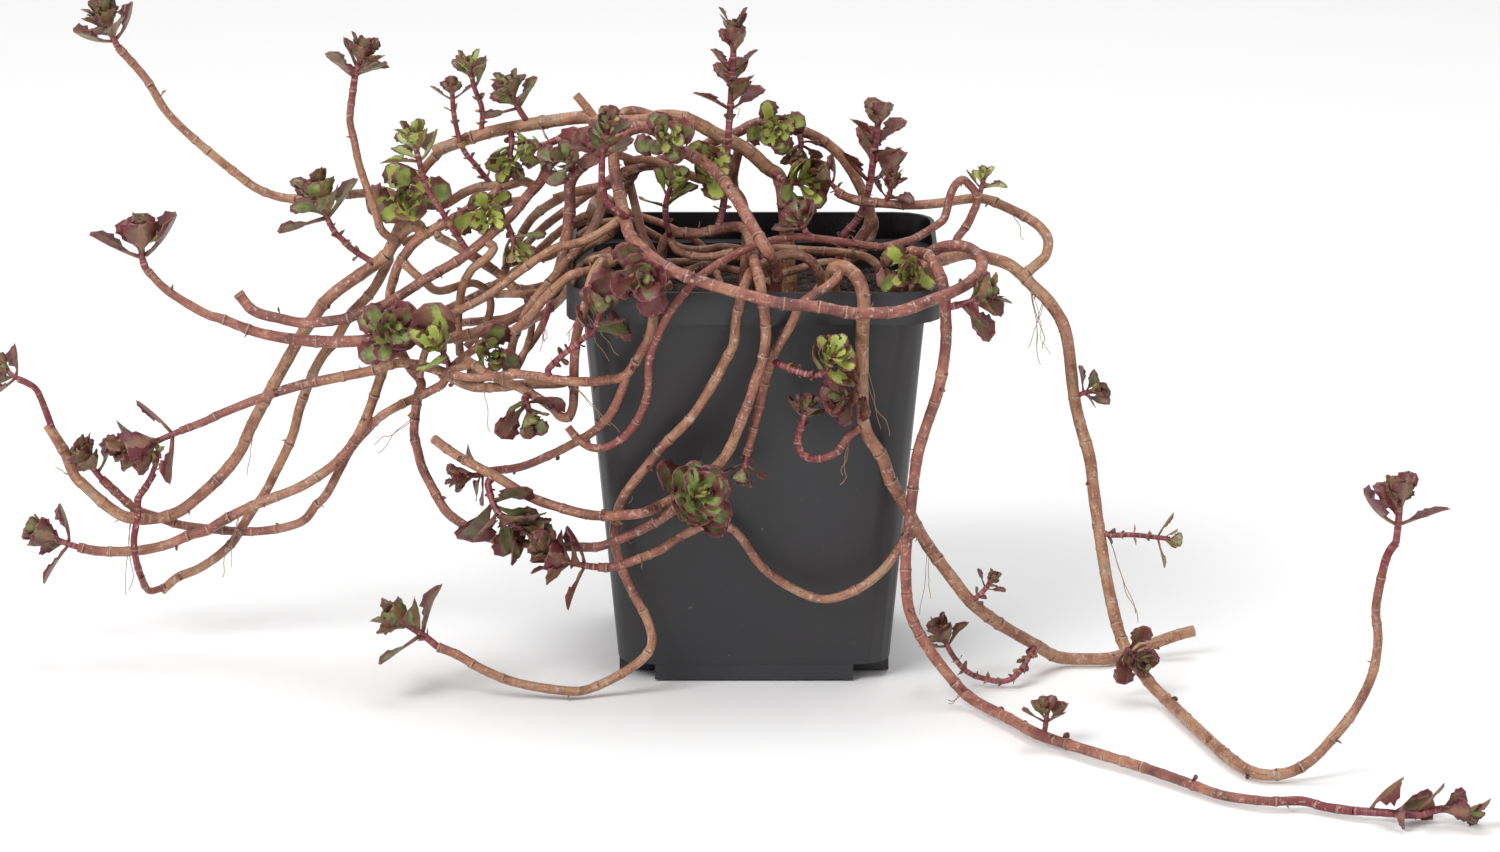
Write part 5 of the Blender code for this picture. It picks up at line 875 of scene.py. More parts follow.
# %% Lay out the whole plant
def laid_out():
    """Every stem and shoot by name, laid clear of each other, with the leaves of each shoot."""
    placed = {}
    for route in STEMS:
        fused = bool(route.on) and placed[route.on]["node"] == route.node
        placed[route.name] = {**grown(route, route.radii, fused, placed), "node": route.node}
    for spray in SPRAYS:
        shoot = grown(spray, (spray.radius, 0.85 * spray.radius), bool(spray.node), placed)
        placed[spray.name] = {**shoot, "node": spray.node or spray.name}
    blades = []
    for spray in SPRAYS:
        placed[spray.name]["leaves"] = leaf_places(spray, placed, blades)
    return placed, len(blades)


plant, leaf_count = laid_out()
print("laid out", len(STEMS), "stems,", len(SPRAYS), "shoots and", leaf_count, "large leaves")

# %% [markdown]
# ## A small language for node trees
#
# Geometry Nodes and shaders are both trees of nodes. One helper adds a node, sets its options and feeds its
# inputs, each either from another node's output or from a plain value. The trees below are then read like
# sums.

# %% Helpers for node trees
def give(tree, socket, value):
    """Links an output to a socket, or sets the socket's own value."""
    if isinstance(value, bpy.types.NodeSocket):
        tree.links.new(value, socket)
    else:
        socket.default_value = value


def add(tree, kind, feed=None, **settings):
    """A new node. feed gives its inputs by name or number: an output to link, or a value."""
    made = tree.nodes.new(kind)
    for name, value in settings.items():
        setattr(made, name, value)
    for name, value in (feed or {}).items():
        give(tree, made.inputs[name], value)
    return made


def out_of(tree, kind, feed=None, **settings):
    """The first output of a new node."""
    return add(tree, kind, feed, **settings).outputs[0]


def maths(tree, kind, *values):
    """One arithmetic node for whichever kind of tree this is."""
    return out_of(tree, "ShaderNodeMath", dict(enumerate(values)), operation=kind)


def times(tree, first, *others):
    for other in others:
        first = maths(tree, "MULTIPLY", first, other)
    return first


def plus(tree, first, *others):
    for other in others:
        first = maths(tree, "ADD", first, other)
    return first


def vector_of(tree, x=0.0, y=0.0, z=0.0):
    return out_of(tree, "ShaderNodeCombineXYZ", {"X": x, "Y": y, "Z": z})


def blank_paint(name):
    """A material with an empty tree, its shader and the shader's output."""
    made = bpy.data.materials.new(name)
    made.use_nodes = True
    tree = made.node_tree
    tree.nodes.clear()
    shader = add(tree, "ShaderNodeBsdfPrincipled")
    add(tree, "ShaderNodeOutputMaterial", {"Surface": shader.outputs[0]})
    return made, tree, shader


def painted(tree, shader, colour, rough):
    """Gives the shader its colour and roughness."""
    give(tree, shader.inputs["Base Color"], colour)
    give(tree, shader.inputs["Roughness"], rough)


def read(tree, name, part="Fac"):
    """What a mesh attribute says at the shaded point."""
    return add(tree, "ShaderNodeAttribute", attribute_name=name).outputs[part]


def ramp(tree, factor, stops):
    """A colour that changes with a factor, from (place, colour) stops."""
    made = add(tree, "ShaderNodeValToRGB", {"Fac": factor})
    for index, (place, colour) in enumerate(stops):
        stop = made.color_ramp.elements[index] if index < 2 else made.color_ramp.elements.new(place)
        stop.position = place
        stop.color = colour
    return made.outputs["Color"]


def blend_colours(tree, factor, first, second):
    feed = {"Factor": factor, 6: first, 7: second}
    return add(tree, "ShaderNodeMix", feed, data_type="RGBA").outputs[2]


def noise(tree, scale, detail=3.0, vector=None, roughness=0.55):
    feed = {"Scale": scale, "Detail": detail, "Roughness": roughness}
    feed["Vector"] = vector or add(tree, "ShaderNodeTexCoord").outputs["Object"]
    return add(tree, "ShaderNodeTexNoise", feed).outputs["Fac"]


def stretch(tree, value, low, high, to_low=0.0, to_high=1.0):
    """A value carried from one range over to another, and held at its ends."""
    feed = {"Value": value, "From Min": low, "From Max": high, "To Min": to_low, "To Max": to_high}
    return out_of(tree, "ShaderNodeMapRange", feed)


def raised(tree, shader, height, distance):
    """Bump from a height that runs from 0 to 1 over a real distance."""
    bump = out_of(tree, "ShaderNodeBump", {"Height": height, "Distance": distance, "Strength": 1.0})
    give(tree, shader.inputs["Normal"], bump)


# %% Helpers for Geometry Nodes
def new_tree(name, inputs):
    """A node group with a geometry input and named inputs of the given kinds and values."""
    tree = bpy.data.node_groups.new(name, "GeometryNodeTree")
    tree.interface.new_socket("Geometry", in_out="INPUT", socket_type="NodeSocketGeometry")
    tree.interface.new_socket("Geometry", in_out="OUTPUT", socket_type="NodeSocketGeometry")
    for title, kind, value in inputs:
        socket = tree.interface.new_socket(title, in_out="INPUT", socket_type="NodeSocket" + kind)
        if value is not None:
            socket.default_value = value
    return tree, add(tree, "NodeGroupInput").outputs


def end_tree(tree, geometry, finish):
    """Makes instances real, gives them their material and ends the tree."""
    geometry = out_of(tree, "GeometryNodeRealizeInstances", {"Geometry": geometry})
    geometry = out_of(tree, "GeometryNodeSetMaterial", {"Geometry": geometry, "Material": finish})
    add(tree, "NodeGroupOutput", {"Geometry": geometry})
    return tree


def named(tree, name, kind="FLOAT"):
    return add(tree, "GeometryNodeInputNamedAttribute", {"Name": name}, data_type=kind).outputs["Attribute"]


def stored(tree, geometry, name, value, kind="FLOAT"):
    feed = {"Geometry": geometry, "Name": name, "Value": value}
    return out_of(tree, "GeometryNodeStoreNamedAttribute", feed, data_type=kind, domain="POINT")


def drawn(tree, low, high, **feed):
    """A random number between two."""
    feed = {2: low, 3: high, **feed}
    return add(tree, "FunctionNodeRandomValue", feed, data_type="FLOAT").outputs[1]


def drawn_vector(tree, low, high):
    feed = {0: (low, low, low), 1: (high, high, high)}
    return out_of(tree, "FunctionNodeRandomValue", feed, data_type="FLOAT_VECTOR")


def points_object(name, places, edges=(), **facts):
    """A mesh of bare points, and edges if any, that carries one value or vector for each point."""
    mesh = bpy.data.meshes.new(name)
    mesh.from_pydata([tuple(place) for place in places], list(edges), [])
    for title, values in facts.items():
        values = np.asarray(values, float)
        kind, key = ("FLOAT_VECTOR", "vector") if values.ndim == 2 else ("FLOAT", "value")
        mesh.attributes.new(title, kind, "POINT").data.foreach_set(key, values.ravel())
    return in_scene(name, mesh)


def grown_mesh(made, tree, **values):
    """Runs a tree on an object, with inputs given by name, and keeps the result as its plain mesh."""
    modifier = made.modifiers.new("tree", "NODES")
    modifier.node_group = tree
    sockets = {item.name: item.identifier for item in tree.interface.items_tree if item.in_out == "INPUT"}
    for title, value in values.items():
        modifier[sockets[title.replace("_", " ")]] = value
    graph = bpy.context.evaluated_depsgraph_get()
    result = bpy.data.meshes.new_from_object(made.evaluated_get(graph), depsgraph=graph)
    made.modifiers.remove(modifier)
    spare = made.data
    made.data = result
    result.name = made.name
    bpy.data.meshes.remove(spare)
    return made


def settled(made, slot, *nodes):
    """The last calls on a finished piece: it is shaded smooth, rides on the plant and replaces nodes."""
    made.data.shade_smooth()
    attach(made, "root")
    if nodes:
        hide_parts(*nodes)
    return made


# %% [markdown]
# ## Bark
#
# No two stems have the same bark: some are greyish tan, some mauve brown, and all of them carry pale flecks,
# partly wax and partly painted highlight, dark pores and a paler line with a dark scar on each side wherever
# a pair of leaves once sat. The pattern follows the stem, so it reads how far along and how far round the
# point lies rather than its place in space.

# %% Paint the bark
BARK_TAN = srgb(178, 131, 99)
BARK_BROWN = srgb(128, 81, 58)
BARK_MAUVE = srgb(156, 94, 80)
BARK_PLUM = srgb(98, 55, 50)
BARK_GREY = srgb(162, 136, 112)
BARK_YOUNG = srgb(118, 38, 46)
BARK_RING = srgb(198, 170, 148)
BARK_SCAR = srgb(62, 40, 34)
BARK_WAX_AND_HIGHLIGHT = srgb(206, 184, 172)
# Pale flecks: partly wax colour and partly painted highlight.
BARK_SPOT = srgb(52, 34, 30)
RING_HALF = 0.00011
SCAR_HALF = 0.00032


def bark_paint():
    made, tree, shader = blank_paint("bark")
    run = read(tree, "run")
    mark = read(tree, "mark")
    away = read(tree, "away")
    tone = read(tree, "tone")
    around = read(tree, "around", "Vector")
    along = vector_of(tree, z=times(tree, run, 0.2))
    striped = out_of(tree, "ShaderNodeVectorMath", {0: around, 1: along}, operation="ADD")
    streaks = noise(tree, 2400.0, 3.0, striped)
    blotch = noise(tree, 150.0, 5.0)
    patch = noise(tree, 42.0, 2.0)
    light = stretch(tree, blotch, 0.32, 0.68)
    tan = ramp(tree, light, [(0.0, BARK_BROWN), (0.6, BARK_TAN), (1.0, BARK_GREY)])
    mauve = ramp(tree, light, [(0.0, BARK_PLUM), (0.7, BARK_MAUVE), (1.0, BARK_TAN)])
    leaning = plus(tree, tone, stretch(tree, patch, 0.3, 0.7, -0.25, 0.25))
    colour = blend_colours(tree, stretch(tree, leaning, 0.3, 0.7), tan, mauve)
    colour = blend_colours(tree, stretch(tree, streaks, 0.5, 0.72, 0.0, 0.65), colour, BARK_PLUM)
    flush = plus(tree, read(tree, "young"), stretch(tree, blotch, 0.3, 0.7, -0.2, 0.2))
    colour = blend_colours(tree, stretch(tree, flush, 0.35, 1.0), colour, BARK_YOUNG)
    # Pale flecks, partly wax and partly painted highlight specks; the same noise makes them glossier and
    # raised.
    wax_and_highlight = noise(tree, 760.0, 3.0, roughness=0.7)
    colour = blend_colours(tree, stretch(tree, wax_and_highlight, 0.57, 0.68, 0.0, 0.65), colour, BARK_WAX_AND_HIGHLIGHT)
    gap = maths(tree, "ABSOLUTE", away)
    line = stretch(tree, gap, RING_HALF, 2.2 * RING_HALF, 0.6, 0.0)
    colour = blend_colours(tree, times(tree, line, mark), colour, BARK_RING)
    below = maths(tree, "ABSOLUTE", plus(tree, away, SCAR_HALF))
    facing = add(tree, "ShaderNodeVectorMath", {0: around, 1: read(tree, "bud", "Vector")},
                 operation="DOT_PRODUCT").outputs["Value"]
    scar = times(tree, stretch(tree, below, 0.12 * MM, 0.34 * MM, 1.0, 0.0), mark)
    side = stretch(tree, maths(tree, "ABSOLUTE", facing), 0.0007, 0.00105, 0.1, 1.0)
    colour = blend_colours(tree, times(tree, scar, side), colour, BARK_SCAR)
    specks = noise(tree, 1100.0, 2.0)
    colour = blend_colours(tree, stretch(tree, specks, 0.66, 0.72, 0.0, 0.75), colour, BARK_SPOT)
    painted(tree, shader, colour, stretch(tree, wax_and_highlight, 0.35, 0.7, 0.52, 0.34))
    raised(tree, shader, plus(tree, streaks, times(tree, wax_and_highlight, 0.8)), 0.0003)
    return made


bark = bark_paint()
print("bark has", len(bark.node_tree.nodes), "nodes")

# %% [markdown]
# ## A stem with joints
#
# Each stem is one round sweep along its route. Its radius swells a little at every joint. The joints crowd
# toward the young end, so each point carries a phase, which counts joints, and a pace, the length that one
# joint takes there. The tree puts one joint at a random place in each whole number of the phase and gives
# it a random strength: some joints are hardly seen. A slow noise keeps the stem from looking like pipe.

# %% The stem tree
JOINT_SWELL = 0.2
JOINT_WIDTH = 0.0005
STEM_DETAIL = 0.00065
STEM_SIDES = 9
STEM_UNEVEN = 0.22
UNEVEN_SCALE = 190.0
BUD_TURN = math.radians(90)
ROUND_SCALE = 0.0012


def stem_tree():
    tree, given = new_tree("stem", [
        ("Swell", "Float", JOINT_SWELL),
        ("Joint width", "Float", JOINT_WIDTH),
        ("Uneven", "Float", STEM_UNEVEN),
        ("Detail", "Float", STEM_DETAIL),
        ("Sides", "Int", STEM_SIDES),
        ("Seed", "Int", 1),
        ("Finish", "Material", None),
    ])
    curve = out_of(tree, "GeometryNodeMeshToCurve", {"Mesh": given["Geometry"]})
    curve = out_of(tree, "GeometryNodeCurveSplineType", {"Curve": curve}, spline_type="CATMULL_ROM")
    feed = {"Curve": curve, "Length": given["Detail"]}
    curve = out_of(tree, "GeometryNodeResampleCurve", feed, mode="LENGTH")
    phase = named(tree, "phase")
    cell = maths(tree, "FLOOR", phase)
    jitter = drawn(tree, 0.2, 0.8, ID=cell, Seed=given["Seed"])
    into = maths(tree, "SUBTRACT", maths(tree, "SUBTRACT", phase, cell), jitter)
    away = times(tree, into, named(tree, "pace"))
    mark = drawn(tree, 0.25, 1.0, ID=cell, Seed=plus(tree, given["Seed"], 500.0))
    mark = maths(tree, "POWER", mark, 1.7)
    steps = maths(tree, "DIVIDE", away, given["Joint width"])
    ring = maths(tree, "EXPONENT", times(tree, steps, steps, -1.0))
    curve = stored(tree, curve, "mark", mark)
    curve = stored(tree, curve, "away", away)
    turn = times(tree, cell, BUD_TURN)
    bud = vector_of(tree, maths(tree, "COSINE", turn), maths(tree, "SINE", turn))
    curve = stored(tree, curve, "bud", bud, "FLOAT_VECTOR")
    slow = add(tree, "ShaderNodeTexNoise", {"Scale": UNEVEN_SCALE, "Detail": 2.0}).outputs["Fac"]
    slow = times(tree, maths(tree, "SUBTRACT", slow, 0.5), given["Uneven"])
    swell = times(tree, ring, given["Swell"], mark)
    radius = times(tree, named(tree, "girth"), plus(tree, swell, slow, 1.0))
    curve = stored(tree, curve, "thick", radius)
    circle = out_of(tree, "GeometryNodeCurvePrimitiveCircle", {"Resolution": given["Sides"], "Radius": 1.0})
    place = out_of(tree, "GeometryNodeInputPosition")
    narrow = out_of(tree, "ShaderNodeVectorMath", {0: place, "Scale": ROUND_SCALE}, operation="SCALE")
    profile = stored(tree, circle, "around", narrow, "FLOAT_VECTOR")
    feed = {"Curve": curve, "Profile Curve": profile, "Scale": named(tree, "thick"), "Fill Caps": True}
    return end_tree(tree, out_of(tree, "GeometryNodeCurveToMesh", feed), given["Finish"])


stem_rule = stem_tree()
print("the stem tree has", len(stem_rule.nodes), "nodes")

# %% [markdown]
# ## Age along a stem
#
# The stems redden toward their young ends, and their joints crowd there. Each route has a tint for its
# whole length, and one that ends in a leafy shoot also flushes over its last few centimetres. The tone says
# whether the bark is more tan or more mauve.

# %% Say how old each stretch is
TINTS = {"long_red": 0.72, "loop": 0.3, "left_up": 0.3, "front_bow": 0.5, "loop_left": 0.35,
         "corner_low": 0.45, "side": 0.35, "loop_shoot": 0.8, "far_left_shoot": 0.75, "slant_shoot": 0.8,
         "front_hang": 0.3, "low_back": 0.3, "cross": 0.3, "right_front": 0.28, "left_high": 0.2}
PLAIN_TINT = 0.1
FLUSH_LENGTH = 34.0
FLUSH = 0.5
FLUSHED = {"right_far": 0.95, "right_front": 0.9, "cross": 0.5, "far_left_shoot": 0.5, "middle": 0.3}
TONES = {"arch": 0.25, "arch_back": 0.65, "arch_front": 0.6, "loop": 0.7, "high": 0.55, "knee": 0.6,
         "far_left": 0.3, "slant": 0.35, "low_front": 0.45, "left_high": 0.3, "right_far": 0.3, "middle": 0.5,
         "right_front": 0.75, "front_right": 0.3, "front_left": 0.4, "inner": 0.4}
PLAIN_TONE = 0.45
OLD_PACE = 6.2
YOUNG_PACE = 2.3
STEM_GIRTH = 0.93
GIRTHS = {"arch": 1.12, "arch_front": 0.98, "loop": 0.88, "front_right": 1.08, "right_far": 1.03,
          "far_left": 1.02, "middle": 1.0, "right_front": 0.98}
SLIM_TIPS = {"arch_front": 0.62, "cross": 0.78, "right_far": 0.74, "right_front": 0.8}
CARRIERS = {route.name: route.on for route in STEMS + SPRAYS}


def joined_to_carrier(name):
    """A stem's points and radii, run back into the middle of the stem that carries it."""
    points, radii = plant[name]["points"], plant[name]["radii"]
    if not CARRIERS.get(name):
        return points, radii
    carrier = plant[CARRIERS[name]]["points"]
    nearest = carrier[np.linalg.norm(carrier - points[0], axis=1).argmin()]
    if np.linalg.norm(nearest - points[0]) < 0.3:
        return points, radii
    return np.vstack([nearest, points]), np.concatenate([radii[:1], radii])


def ends_in_leaves(name):
    last = plant[name]["line"][-1][:2]
    return any(spray.on == name and np.linalg.norm(np.array(spray.way[0][:2]) - last) < 3 for spray in SPRAYS)


def stem_points(names, old_pace=OLD_PACE, girth=STEM_GIRTH):
    """All points of several stems with their edges, girth, place along, youth, tone and joints."""
    places, edges = [], []
    facts = {key: [] for key in ("girth", "run", "young", "tone", "phase", "pace")}
    for number, name in enumerate(names):
        start = len(places)
        points, radii = joined_to_carrier(name)
        along = lengths_along(points)
        left = along[-1] - along
        tip = np.clip(1 - left / FLUSH_LENGTH, 0, 1) if ends_in_leaves(name) else 0 * along
        pace = old_pace + min(YOUNG_PACE - old_pace, 0.0) * tip ** 2
        steps = np.diff(along) / (0.5 * (pace[1:] + pace[:-1]))
        places += list(points * MM)
        edges += [(start + step, start + step + 1) for step in range(len(along) - 1)]
        slim = np.interp(along / along[-1], (0.7, 1.0), (1.0, SLIM_TIPS.get(name, 1.0)))
        facts["girth"] += list(radii * slim * GIRTHS.get(name, girth) * MM)
        facts["run"] += list((along + 1000 * number) * MM)
        facts["young"] += list(np.minimum(TINTS.get(name, PLAIN_TINT) + FLUSHED.get(name, FLUSH) * tip, 1.0))
        facts["tone"] += [TONES.get(name, PLAIN_TONE)] * len(along)
        facts["phase"] += list(np.concatenate([[0], np.cumsum(steps)]) + 100 * number)
        facts["pace"] += list(pace * MM)
    return places, edges, facts


# %% Sweep the stems
stem_nodes = {}
for route in STEMS:
    stem_nodes.setdefault(route.node, []).append(route.name)
for number, (node, names) in enumerate(stem_nodes.items()):
    places, edges, facts = stem_points(names)
    made = points_object(node + "_bark", places, edges, **facts)
    grown_mesh(made, stem_rule, Seed=11 + number, Finish=bark)
    settled(made, "bark", node)

# %% [markdown]
# ## The thick of the tangle
#
# Between the stems of the frame the crown is full of thinner ones, and some stems go on behind a rosette.
# These are laid by the same rules, so they keep clear of what is there, and ride along as one loose piece.

# %% Lay the spare stems
SPARES = [
    ("arch", (1.25, 1.15), [(-80, 132, 0), (-83, 126.75, -1), (-86.5, 118.75, -3), (-90, 110.75, -6),
     (-92, 105.75, -9)]),
    ("loop_left", (1.05, 1.0), [(-76, 91, 0), (-79.25, 87, -2), (-82.25, 81.75, -4), (-83.5, 75.75, -6)]),
    ("high", (1.3, 1.1), [(-50, 120, 0), (-54.75, 116, -2), (-58.5, 110.5, -4), (-61.5, 104.25, -6),
     (-64, 97.75, -6)]),
    ("corner", (1.2, 1.0), [(-61, 76.5, 0), (-66, 75.5, -2), (-72, 75.5, -4), (-78.5, 77.25, -6)]),
    ("side", (1.1, 1.0), [(-72, 80, 0), (-76, 77, 1), (-78.5, 75.25, 2)]),
    ("left_rim", (1.1, 1.0), [(-69, 83.5, 0), (-73, 80.25, -2), (-77, 76.75, -4)]),
    ("inner", (1.1, 1.0), [(-32.5, 129, 0), (-37.5, 132.25, -1), (-43.5, 133.25, -2), (-50.5, 131.75, -4),
     (-56.5, 128.25, -6)]),
    ("tangle_b", (1.0, 0.9), [(-52, 98.5, 0), (-46.5, 100.75, 2), (-41, 104.75, 4), (-35.5, 106.75, 5)]),
    (None, (1.2, 1.0), [(-28.5, 122.75, -14), (-37.75, 116.75, -16), (-48.5, 111.75, -17),
     (-56.5, 104.25, -18), (-68, 96.75, -17), (-78.5, 91.75, -16)]),
    (None, (1.1, 1.0), [(-26.5, 116.75, -8), (-35.5, 111.5, -10), (-41.5, 108.25, -12), (-47, 102.75, -14),
     (-50.5, 94.75, -14), (-53.5, 87.25, -14), (-57.5, 81.5, -12), (-61, 76.5, -10)]),
    (None, (1.3, 1.1), [(-13, 126.75, 2), (-23, 128.25, 0), (-31.25, 127.25, -2), (-37.75, 123.75, -4),
     (-45.5, 118.25, -6), (-52.25, 113.25, -8), (-58.5, 107.25, -8)]),
    (None, (1.2, 1.1), [(-79.5, 111, 6), (-69.75, 105.75, 6), (-63.5, 101, 7), (-58, 96.25, 8),
     (-49, 96.25, 8), (-41, 104.25, 8), (-35.5, 107.25, 8)]),
    (None, (1.1, 1.0), [(-66.5, 94.25, 12), (-53.75, 96.75, 12), (-45.75, 100.25, 12), (-39.5, 105.75, 10),
     (-28.5, 106.25, 8)]),
    (None, (1.0, 0.9), [(-57, 98.25, 2), (-55.5, 88.5, 2), (-58, 80, 2), (-60.5, 76, 2)]),
    (None, (1.1, 1.0), [(-69.75, 87, 20), (-56, 89.25, 24), (-48, 95.25, 26), (-43.5, 102.75, 27),
     (-38.5, 105.25, 27), (-32, 103.25, 26), (-26.5, 86, 25)]),
    (None, (1.1, 1.0), [(-28.5, 114.25, -20), (-21.25, 109, -16), (-13.5, 107.25, -12), (-8, 108, -10),
     (-1.5, 106, -8), (1, 94, -7)]),
    (None, (1.1, 1.0), [(-23.5, 106.25, -8), (-13.5, 104.25, -4), (-6.75, 102.75, 0), (2, 100.25, 2),
     (8, 96.25, 4), (10, 90, 4)]),
    (None, (1.1, 1.0), [(-30, 99.25, 8), (-16, 102.25, 6), (-6.75, 105.5, 4), (1.5, 103, 2), (4.5, 92, 2)]),
    (None, (1.3, 1.2), [(28.5, 118.25, -20), (30, 113.5, -18), (28, 108.25, -16), (23, 103.75, -14),
     (17, 98.75, -12), (14, 94, -11)]),
    (None, (1.4, 1.4), [(-4, 131, 2), (-5.25, 124, -8), (-2, 116.25, -16), (2.75, 105.75, -18),
     (7.5, 95.25, -18)]),
    (None, (1.1, 1.0), [(-44.75, 128.5, -24), (-38.5, 121, -26), (-31.5, 116.75, -28), (-22.25, 113.5, -30),
     (-12.5, 107.75, -31), (-8, 98, -31)]),
    (None, (1.1, 1.0), [(-71, 112.25, -20), (-61, 107.25, -22), (-52.25, 105.25, -22), (-44.75, 110.25, -24),
     (-37, 114.25, -26), (-28.5, 111.75, -26), (-21, 98, -26)]),
    (None, (1.2, 1.1), [(-24.75, 118.5, -4), (-28, 111.75, -2), (-25.5, 104.25, 0), (-20.5, 91, 0)]),
    (None, (1.1, 1.0), [(11.5, 102.75, 6), (19, 104.25, 8), (26, 100.75, 10), (29.5, 89, 10)]),
]
FRAME_NAMES = list(plant)


def nearest_seen(point):
    """The frame's stem or shoot that is seen nearest to a point, and which of its line's points that is."""
    parts = len(point)
    gaps = {name: np.linalg.norm(plant[name]["line"][:, :parts] - point, axis=1) for name in FRAME_NAMES}
    name = min(gaps, key=lambda key: gaps[key].min())
    return name, plant[name]["line"][gaps[name].argmin()]


spare_names = []
for number, (on, radii, way) in enumerate(SPARES):
    if on is None:
        on, base = nearest_seen(np.array(way[0], float))
        way = [tuple(base)] + [(across, up, toward - base[2]) for across, up, toward in way[1:]]
    route = Route(f"spare_{number}", None, on, None, radii, way)
    plant[route.name] = {**grown(route, radii, True, plant), "node": "spare"}
    spare_names.append(route.name)
places, edges, facts = stem_points(spare_names)
spare_stems = points_object("spare_stems", places, edges, **facts)
grown_mesh(spare_stems, stem_rule, Seed=71, Finish=bark)
settled(spare_stems, "bark")
print("spare stems:", len(spare_names))

# %% [markdown]
# ## Air roots
#
# Fine threads hang from the joints of the old stems. Each is a wavering line from where it starts to where
# it ends in the photo, drawn up to three times with another waver, and swept by the stem tree with no
# swelling.

# %% Draw the air roots
ROOTS = {
    "pink": [
        ((-48.5, 94.25), (-53, 83.5), 3), ((-46.5, 93.25), (-48.5, 84.75), 2),
        ((-93.5, 71.75), (-95, 61.75), 2), ((-67.5, 72.25), (-66.75, 62.75), 1),
        ((-78.25, 76), (-76.75, 70.25), 1), ((108, -27.25), (109, -34), 2),
    ],
    "tan": [
        ((68.5, 97.25), (72.5, 80.25), 3), ((71.5, 94.75), (70.5, 83.5), 2),
        ((87.5, 36.75), (94, 15.25), 2), ((31.5, 81.75), (32.5, 62.25), 2),
        ((26, 59.75), (22, 49.25), 2), ((42.75, 33.5), (42, 17.75), 2),
        ((46.5, 94.75), (48, 81.75), 1), ((-155.5, 44.75), (-158, 22.75), 2),
        ((-129, 42.75), (-131.5, 26.75), 2), ((-83.5, 64.75), (-95.5, 58.25), 2),
        ((-41, 91.75), (-35.5, 79.75), 2), ((-45.5, 73.75), (-36, 61.75), 2),
        ((51.5, -2.75), (48.5, -7.25), 2), ((-28.5, 52.25), (-31.5, 44.75), 1),
        ((64, 118.5), (66, 109.75), 1), ((-126, 64.75), (-127, 52.25), 1),
        ((-167, 49.75), (-173.5, 52.25), 2), ((-4.5, 147.25), (-3, 139.75), 1),
    ],
}
ROOT_RADIUS = 0.1
ROOT_WAVER = 1.3
ROOT_STEPS = 14
ROOT_TAN = srgb(150, 118, 92)
ROOT_PINK = srgb(160, 66, 92)
wander = np.random.default_rng(23)


def thread_paint(name, colour):
    made, tree, shader = blank_paint(name)
    painted(tree, shader, colour, 0.6)
    return made


def thread_line(start, end):
    """A wavering thread from the stem that is seen at its start, with the slack growing toward its end."""
    share = np.linspace(0, 1, ROOT_STEPS)[:, None]
    base = nearest_seen(np.array(start, float))[1]
    line = base + share * (np.array([end[0] - base[0], end[1] - base[1], 1.0]) + wander.uniform(-2, 2, 3))
    for turns in (1.3, 2.9):
        swing = wander.uniform(-1, 1, 3) * ROOT_WAVER / turns
        line = line + share * swing * np.sin(2 * math.pi * (turns * share + wander.random()))
    points = seen_points(line)
    points[:, 2] = np.maximum(points[:, 2], ROOT_RADIUS)
    return points


def threads(name, rows, finish):
    places, edges = [], []
    for start, end, strands in rows:
        for _ in range(strands):
            edges += [(len(places) + step, len(places) + step + 1) for step in range(ROOT_STEPS - 1)]
            places += list(thread_line(start, end) * MM)
    plain = np.zeros(len(places))
    made = points_object(name, places, edges, girth=plain + ROOT_RADIUS * MM, phase=plain, pace=plain + 1)
    grown_mesh(made, stem_rule, Swell=0.0, Uneven=0.5, Detail=0.0012, Sides=4, Finish=finish)
    return settled(made, "bark")


threads("roots_pink", ROOTS["pink"], thread_paint("root_pink", ROOT_PINK))
threads("roots_tan", ROOTS["tan"], thread_paint("root_tan", ROOT_TAN))
print("air roots:", sum(row[-1] for rows in ROOTS.values() for row in rows))

# %% [markdown]
# ## Leaf colours
#
# A leaf is lime or green in its middle and turns wine red toward its scalloped edge, which ends in a thin
# rosy line. How far the red has spread differs from leaf to leaf, so every leaf carries a number for it.
# The lower side is a duller mauve with some green left along its rib.

# %% Paint the leaves
LEAF_LIME = srgb(178, 190, 94)
LEAF_GREEN = srgb(138, 154, 88)
LEAF_DEEP = srgb(104, 108, 70)
LEAF_OLIVE = srgb(106, 68, 56)
LEAF_WINE = srgb(98, 38, 46)
LEAF_CRIMSON = srgb(120, 34, 48)
LEAF_FRINGE = srgb(196, 124, 124)
UNDER_RIB = srgb(136, 100, 78)
UNDER_MAUVE = srgb(126, 60, 68)
LEAF_DRY = srgb(170, 128, 84)


